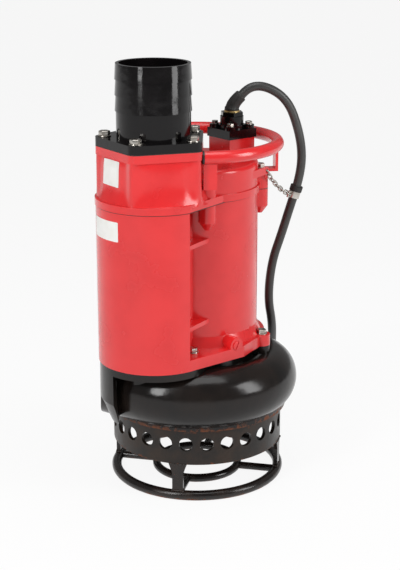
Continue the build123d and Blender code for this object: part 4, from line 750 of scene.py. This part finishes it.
@dataclass
class CableBoot:
    """The moulded boot that grips the cable above the gland.

    Attributes:
        cable: the cable that it holds.
        upright: height over which it rises from the gland before it leans, in millimetres.
        stations: distance along the cable and outer radius, in millimetres.
        sides: sides round it.
    """
    cable: PowerCable
    upright: float = 15.0
    stations: tuple[Pair, ...] = (
        (0, 15.4), (1, 16.2), (5, 16.2), (6.5, 15.0), (14, 14.6), (22, 14.2), (30, 13.8),
        (36, 13.6), (37.5, 13.2), (38.5, 12.0), (38.5, 9.9),
    )
    sides: int = 36

    def build(self) -> None:
        """Lofts the boot along a bend from the gland into the cable."""
        whole = self.stations[-1][0]
        foot = self.cable.gland
        bend = foot + Vector((0, 0, self.upright * MM))
        top = self.find([foot] + self.cable.line(), whole * MM)
        mesh = bmesh.new()
        loops = []
        for reach, radius in self.stations:
            share = reach / whole
            behind, ahead = foot.lerp(bend, share), bend.lerp(top, share)
            place = Matrix.Translation(behind.lerp(ahead, share)) @ along(ahead - behind)
            ring = bmesh.ops.create_circle(mesh, cap_ends=False, segments=self.sides,
                                           radius=radius * MM, matrix=place)
            loops.append(list({e for v in ring["verts"] for e in v.link_edges}))
        for lower, upper in zip(loops, loops[1:]):
            bmesh.ops.bridge_loops(mesh, edges=lower + upper)
        bmesh.ops.holes_fill(mesh, edges=loops[0])
        boot = make_piece("cable_boot_sleeve", mesh, Surface.RUBBER, sharp=50)
        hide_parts("cable_boot")

    @staticmethod
    def find(line: Sequence[Vector], reach: float) -> Vector:
        """Finds a place along a line.

        Args:
            line: the line's points.
            reach: distance from its start.

        Returns:
            The place, or the line's end if that comes first.
        """
        for start, end in zip(line, line[1:]):
            step = (end - start).length
            if reach <= step:
                return start.lerp(end, reach / step)
            reach -= step
        return line[-1]


# Bolts

@dataclass
class BoltSet:
    """A group of hex bolts with washers that stands for one CAD node.

    Attributes:
        node: the CAD node.
        flats: width over the head's flats.
        head: height of the CAD bolt's head.
        shank: shank radius.
        places: centre of each bolt, in plan.
        washer_radius: this and the next three are shares of the width over flats.
        washer_height: thickness of a washer.
        washer_edge: softening of a washer's edges.
        chamfer: what is turned off a head's corners.
        most_turn: the most that a head is turned, about a sixth of a turn in radians.
        washer_sides: sides round a washer.
        shank_sides: sides round a shank.
    """
    node: str
    flats: float
    head: float
    shank: float
    places: Sequence[Vector]
    washer_radius: float = 0.66
    washer_height: float = 0.12
    washer_edge: float = 0.05
    chamfer: float = 0.09
    most_turn: float = 1.04
    washer_sides: int = 30
    shank_sides: int = 16

    def build(self) -> None:
        """Builds the heads with chamfered corners, washers and shanks."""
        low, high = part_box(self.node)
        seat = high.z - self.head
        washer = self.washer_height * self.flats
        mesh = bmesh.new()
        turns = random.Random(len(self.places))
        for spot in self.places:
            turn = Matrix.Rotation(turns.uniform(0, self.most_turn), 4, "Z")
            place = Matrix.Translation((spot.x, spot.y, seat)) @ turn
            add_drum(mesh, place, self.washer_radius * self.flats, 0, washer, self.washer_sides,
                     self.washer_edge * self.flats)
            self.add_head(mesh, place, washer, washer + self.head)
            add_drum(mesh, place, self.shank, low.z - seat, 0, self.shank_sides)
        bolts = make_piece(self.node + "_detailed", mesh, Surface.STAINLESS, sharp=28)
        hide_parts(self.node)

    def add_head(self, mesh: BMesh, place: Matrix, bottom: float, top: float) -> None:
        """Adds a hex head whose upper corners are turned off.

        Args:
            mesh: the bmesh that takes it.
            place: where the bolt's axis stands.
            bottom: lower level of the head.
            top: upper level of the head.
        """
        reach = self.flats / math.sqrt(3)
        centre = place @ Matrix.Translation((0, 0, (bottom + top) / 2))
        head = bmesh.ops.create_cone(mesh, cap_ends=True, segments=6, radius1=reach, radius2=reach,
                                     depth=top - bottom, matrix=centre)
        caps = {f for v in head["verts"] for f in v.link_faces if len(f.verts) == 6}
        crown = max(caps, key=lambda cap: cap.calc_center_median().z)
        soften(mesh, list(crown.edges), self.chamfer * self.flats, steps=3)


# Places of the bolts, in millimetres and degrees, as in the castings that they hold.
DISCHARGE_CIRCLE, DISCHARGE_FIRST, DISCHARGE_COUNT = 101, 197, 5
HEAD_CIRCLE, HEAD_ANGLES = 138, (-45, 45, 135, 225)
EAR_CIRCLE, EAR_ANGLES = 147, (-70, 0, 70)
POCKET_X, POCKET_SIDES = -138, (-90, 90)
ENTRY_CIRCLE, ENTRY_ANGLE, ENTRY_CORNER = 97, -15.5, 26


def bolt_sets() -> list[BoltSet]:
    """Lists the bolt groups that show.

    Returns:
        One set for each CAD node of visible bolts.
    """
    column = Vector((COLUMN_X, 0, 0))
    pitch = 360 / DISCHARGE_COUNT
    discharge = [column + polar(DISCHARGE_CIRCLE * MM, DISCHARGE_FIRST + pitch * k)
                 for k in range(DISCHARGE_COUNT)]
    head = [polar(HEAD_CIRCLE * MM, a) for a in HEAD_ANGLES]
    ears = [polar(EAR_CIRCLE * MM, a) for a in EAR_ANGLES]
    pockets = [Vector((POCKET_X * MM, y * MM, 0)) for y in POCKET_SIDES]
    entry = (Matrix.Translation(polar(ENTRY_CIRCLE * MM, ENTRY_ANGLE))
             @ Matrix.Rotation(math.radians(ENTRY_ANGLE), 4, "Z"))
    corners = [entry @ Vector((sx * ENTRY_CORNER * MM, sy * ENTRY_CORNER * MM, 0))
               for sx in (-1, 1) for sy in (-1, 1)]
    return [
        BoltSet("discharge_bolts", flats=21 * MM, head=9 * MM, shank=7 * MM, places=discharge),
        BoltSet("head_bolts", flats=19 * MM, head=8 * MM, shank=6 * MM, places=head),
        BoltSet("frame_bolts", flats=19 * MM, head=8 * MM, shank=6 * MM, places=ears + pockets),
        BoltSet("entry_bolts", flats=13 * MM, head=5.5 * MM, shank=4 * MM, places=corners),
    ]


# Oil plug

@dataclass
class OilPlug:
    """The slotted plug in the foot flange's side.

    Attributes:
        centre: middle of its seat on the flange's side face.
        outward: direction of its axis.
        radius: its radius.
        shank: how deep it goes in.
        crown: how far it stands out.
        slot_width: width of the driver slot.
        slot_turn: how far the slot is turned, in degrees.
        slot_floor: level of the slot's floor, as a share of the crown.
        edge: softening of the crown's edges, as a share of the crown.
        sides: sides round it.
    """
    centre: Vector = Vector((-62 * MM, -149.57 * MM, 337 * MM))
    outward: Vector = Vector((-0.2616, -0.9652, 0))
    radius: float = 10 * MM
    shank: float = 16 * MM
    crown: float = 2.2 * MM
    slot_width: float = 2.4 * MM
    slot_turn: float = 62.0
    slot_floor: float = 0.2
    edge: float = 0.2
    sides: int = 40

    def build(self) -> None:
        """Builds the shank and the two halves of the slotted crown."""
        place = Matrix.Translation(self.centre) @ along(self.outward)
        place = place @ Matrix.Rotation(math.radians(self.slot_turn), 4, "Z")
        floor = self.slot_floor * self.crown
        mesh = bmesh.new()
        add_drum(mesh, place, self.radius, -self.shank, floor, self.sides)
        for side in (-1, 1):
            half = bmesh.new()
            add_drum(half, Matrix(), self.radius, floor, self.crown, self.sides,
                     self.edge * self.crown)
            cut = bmesh.ops.bisect_plane(half, geom=half.verts[:] + half.edges[:] + half.faces[:],
                                         plane_co=(0, side * self.slot_width / 2, 0),
                                         plane_no=(0, -side, 0), clear_outer=True)
            rim = [e for e in cut["geom_cut"] if isinstance(e, bmesh.types.BMEdge)]
            bmesh.ops.holes_fill(half, edges=rim)
            bmesh.ops.transform(half, matrix=place, verts=half.verts)
            data = mesh_data("oil_plug_half", half)
            mesh.from_mesh(data)
            bpy.data.meshes.remove(data)
        plug = make_piece("oil_plug_slotted", mesh, Surface.RED_ENAMEL, sharp=30)
        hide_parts("oil_plug")


# Bare plates

@dataclass
class BarePlate:
    """A blank film plate laid on the round of the column.

    Attributes:
        name: the piece's name.
        node: the CAD node that carries it.
        first: angle of one side about the column's axis.
        last: angle of the other side.
        low: level of its lower edge.
        high: level of its upper edge.
        lift: how far its face stands off the casting.
        film: its thickness, as a share of the lift.
        corner: rounding of its corners, as a share of half its width.
        grid: faces across and up it.
        search: how far out the search for the casting starts.
    """
    name: str
    node: str
    first: float
    last: float
    low: float
    high: float
    lift: float = 0.5 * MM
    film: float = 0.8
    corner: float = 0.06
    grid: tuple[int, int] = (14, 8)
    search: float = 0.3

    def build(self) -> None:
        """Lays a small grid on the casting and gives it thickness."""
        mesh = bmesh.new()
        across, up = self.grid
        bmesh.ops.create_grid(mesh, x_segments=across, y_segments=up, size=1.0)
        corners = [v for v in mesh.verts if len(v.link_edges) == 2]
        soften(mesh, corners, self.corner, steps=3, affect="VERTICES")
        for vert in mesh.verts:
            side, rise = (vert.co.x + 1) / 2, (vert.co.y + 1) / 2
            angle = self.first + (self.last - self.first) * side
            vert.co = self.on_casting(angle, self.low + (self.high - self.low) * rise)
        bmesh.ops.recalc_face_normals(mesh, faces=mesh.faces)
        outward = polar(1, (self.first + self.last) / 2)
        if sum((f.normal for f in mesh.faces), Vector()).dot(outward) < 0:
            bmesh.ops.reverse_faces(mesh, faces=mesh.faces)
        bmesh.ops.solidify(mesh, geom=mesh.faces[:], thickness=self.film * self.lift)
        make_piece(self.name, mesh, Surface.BARE_PLATE, sharp=40)

    def on_casting(self, angle: float, level: float) -> Vector:
        """Finds the casting's surface at an angle and level.

        Args:
            angle: angle about the column's axis, in degrees.
            level: height above the floor.

        Returns:
            The surface point, moved out by the plate's lift.
        """
        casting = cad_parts[self.node]
        inward = -polar(1, angle)
        start = Vector((COLUMN_X, 0, level)) - inward * self.search
        back = casting.matrix_world.inverted()
        found, spot, _, _ = casting.ray_cast(back @ start, back.to_3x3() @ inward)
        if not found:
            raise ValueError(f"no casting at {angle:.1f} degrees, {level:.3f} m")
        return casting.matrix_world @ spot - inward * self.lift


BARE_PLATES = (
    BarePlate("upper_bare_plate", "head_cover", first=143, last=175, low=0.694, high=0.746),
    BarePlate("lower_bare_plate", "motor_frame", first=139, last=180.5, low=0.586, high=0.627),
)


# Welds

@dataclass
class StandWelds:
    """Weld beads where the stand's bars and straps meet.

    Attributes:
        bead: radius of one bead of the run.
        bead_range: smallest and largest bead, as a share of that radius.
        pitch: distance from bead to bead, as a share of that radius.
        least_beads: steps in the shortest run.
        drift_mm: how far a bead strays from its run.
        seed: seed of the unevenness.
        leg_angles: where the legs stand.
        leg_radius: radius of the legs' middle.
        leg_width: width of a leg.
        leg_thickness: thickness of a leg.
        leg_top: half the width of a leg's head.
        head_share: how much of the head's width is welded.
        skirt: level of the skirt's lower edge.
        face_rise: level of the runs on a leg's faces above its foot.
        side_rise: level of the runs on a leg's sides above its foot.
        head_drop: level of the runs on a leg's head below the skirt's edge.
    """
    bead: float = 2.6 * MM
    bead_range: Pair = (0.85, 1.15)
    pitch: float = 1.1
    least_beads: int = 3
    drift_mm: float = 0.3
    seed: int = 7
    leg_angles: tuple[float, ...] = (-67.0, 23.0, 113.0, 203.0)
    leg_radius: float = 183 * MM
    leg_width: float = 24 * MM
    leg_thickness: float = 9 * MM
    leg_top: float = 20 * MM
    head_share: float = 0.8
    skirt: float = 84 * MM
    face_rise: float = 2.0 * MM
    side_rise: float = 1.0 * MM
    head_drop: float = 1.0 * MM

    def build(self) -> None:
        """Lays the runs round each leg's foot and along each leg's head."""
        mesh = bmesh.new()
        shake = random.Random(self.seed)
        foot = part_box("stand_legs")[0].z
        half, reach = self.leg_width / 2, self.head_share * self.leg_top
        inner = self.leg_radius - self.leg_thickness / 2
        for angle in self.leg_angles:
            turn = Matrix.Rotation(math.radians(angle), 4, "Z")
            for side in (-1, 1):
                edge = self.leg_radius + side * self.leg_thickness / 2
                face = Vector((edge, -half, foot + self.face_rise))
                self.run(mesh, turn, shake, face, face + Vector((0, self.leg_width, 0)))
                head = Vector((edge, -reach, self.skirt - self.head_drop))
                self.run(mesh, turn, shake, head, head + Vector((0, 2 * reach, 0)))
                end = Vector((inner, side * half, foot + self.side_rise))
                self.run(mesh, turn, shake, end, end + Vector((self.leg_thickness, 0, 0)))
        make_piece("stand_welds", mesh, Surface.WELD, sharp=60)

    def run(self, mesh: BMesh, turn: Matrix, shake: random.Random, start: Vector,
            end: Vector) -> None:
        """Lays one run of overlapping beads.

        Args:
            mesh: the bmesh that takes it.
            turn: the leg's turn about the shaft.
            shake: seeded unevenness.
            start: start of the run.
            end: end of the run.
        """
        count = max(self.least_beads, round((end - start).length / (self.pitch * self.bead)))
        for i in range(count + 1):
            size = self.bead * shake.uniform(*self.bead_range)
            aside = shake.uniform(-self.drift_mm, self.drift_mm) * MM
            above = shake.uniform(-self.drift_mm, self.drift_mm) * MM
            spot = start.lerp(end, i / count) + Vector((aside, 0, above))
            bmesh.ops.create_icosphere(mesh, subdivisions=1, radius=size,
                                       matrix=turn @ Matrix.Translation(spot))


# Stage

@dataclass(frozen=True)
class SoftBox:
    """A soft lamp that stands round the pump.

    Attributes:
        name: the lamp's name.
        azimuth: angle from the camera's side, positive to the image's right, in degrees.
        height: level of its middle.
        distance: distance from the shaft in plan.
        size: width and height.
        power: watts.
    """
    name: str
    azimuth: float
    height: float
    distance: float
    size: Pair
    power: float


@dataclass
class Studio:
    """Camera, floor and soft light.

    Attributes:
        eye: where the camera stands.
        heading: angle of the view in plan, in degrees.
        pitch: how far the camera looks down, in degrees.
        lens: focal length, in millimetres.
        sensor: width of the camera's sensor, in millimetres.
        far: how far the camera sees.
        aim: the point that the lamps face.
        lamps: the soft lamps. Their level lets a colour render about as it is written.
        room_light: strength of the even light from all round.
        floor_colour: sRGB colour of the floor.
        floor_glow: how far the floor that is seen is lifted to plain white.
        floor_half: half the floor's width.
        floor_level: the floor's level, a little below the pump's feet.
    """
    eye: Vector = Vector((-2.3517, -1.7087, 1.299))
    heading: float = 35.87
    pitch: float = 16.63
    lens: float = 86.97
    sensor: float = 36.0
    far: float = 50.0
    aim: Vector = Vector((-0.05, 0, 0.45))
    lamps: tuple[SoftBox, ...] = (
        SoftBox("softbox_left", azimuth=-37, height=1.7, distance=2.6, size=(0.6, 1.9), power=41),
        SoftBox("softbox_right", azimuth=66, height=1.5, distance=2.8, size=(1.0, 1.8), power=42),
        SoftBox("softbox_top", azimuth=20, height=3.2, distance=0.6, size=(2.0, 2.0), power=34),
    )
    room_light: float = 0.24
    floor_colour: str = "#F4F4F4"
    floor_glow: float = 0.9
    floor_half: float = 14.0
    floor_level: float = -0.4 * MM

    def add_camera(self) -> None:
        """Stands the camera where the photograph was taken from."""
        data = bpy.data.cameras.new("photo_camera")
        data.lens = self.lens
        data.sensor_width = self.sensor
        data.clip_end = self.far
        camera = add_object("photo_camera", data)
        camera.location = self.eye
        down = math.radians(self.pitch)
        look = polar(math.cos(down), self.heading, -math.sin(down))
        camera.rotation_mode = "QUATERNION"
        camera.rotation_quaternion = look.to_track_quat("-Z", "Y")
        bpy.context.scene.camera = camera

    def add_lamp(self, box: SoftBox) -> None:
        """Stands one softbox and turns it to the pump.

        Args:
            box: the lamp.
        """
        data = bpy.data.lights.new(box.name, "AREA")
        data.shape = "RECTANGLE"
        data.size, data.size_y = box.size
        data.energy = box.power
        lamp = add_object(box.name, data)
        lamp.location = polar(box.distance, self.heading + 180 + box.azimuth, box.height)
        lamp.rotation_mode = "QUATERNION"
        lamp.rotation_quaternion = (self.aim - lamp.location).to_track_quat("-Z", "Y")

    def floor_material(self) -> bpy.types.Material:
        """Makes the floor's white, lifted where the camera or a mirror sees it.

        Returns:
            The floor's material.
        """
        material = bpy.data.materials.new("white_floor")
        graph = Graph(material)
        path = graph.node("LightPath").outputs
        seen = graph.maths("MAXIMUM", path["Is Camera Ray"], path["Is Glossy Ray"])
        seen = graph.maths("MAXIMUM", seen, path["Is Transmission Ray"])
        share = graph.maths("MULTIPLY", seen, self.floor_glow)
        lit = graph.node("BsdfDiffuse", Color=linear(self.floor_colour))
        glow = graph.node("Emission", Color=linear("#FFFFFF"), Strength=1.0)
        both = graph.node("MixShader", Fac=share, i1=lit.outputs["BSDF"],
                          i2=glow.outputs["Emission"])
        graph.node("OutputMaterial", Surface=both.outputs["Shader"])
        return material

    def add_floor(self) -> None:
        """Lays a pale floor that keeps a soft shadow."""
        mesh = bmesh.new()
        bmesh.ops.create_grid(mesh, x_segments=1, y_segments=1, size=self.floor_half)
        data = mesh_data("floor", mesh)
        data.materials.append(self.floor_material())
        floor = add_object("floor", data)
        floor.location.z = self.floor_level

    def add_world(self) -> None:
        """Lights the room evenly."""
        world = bpy.data.worlds.new("white_room")
        bpy.context.scene.world = world
        graph = Graph(world)
        room = graph.node("Background", Color=linear("#FFFFFF"), Strength=self.room_light)
        graph.node("OutputWorld", Surface=room.outputs["Background"])

    def build(self) -> None:
        """Sets up camera, floor, world and lamps."""
        bpy.context.scene.view_settings.view_transform = "Standard"
        self.add_camera()
        self.add_floor()
        self.add_world()
        for box in self.lamps:
            self.add_lamp(box)
        LOG.info("studio ready")


def main() -> None:
    """Builds the studio, dresses the pump and adds its fittings."""
    logging.basicConfig(level=logging.INFO, format="%(message)s")
    Studio().build()
    cable = PowerCable()
    cable.build()
    PAINTBOX.dress_nodes()
    for fitting in (CableBoot(cable), *bolt_sets(), *BARE_PLATES, OilPlug(), StandWelds()):
        fitting.build()


if __name__ == "__main__":
    main()
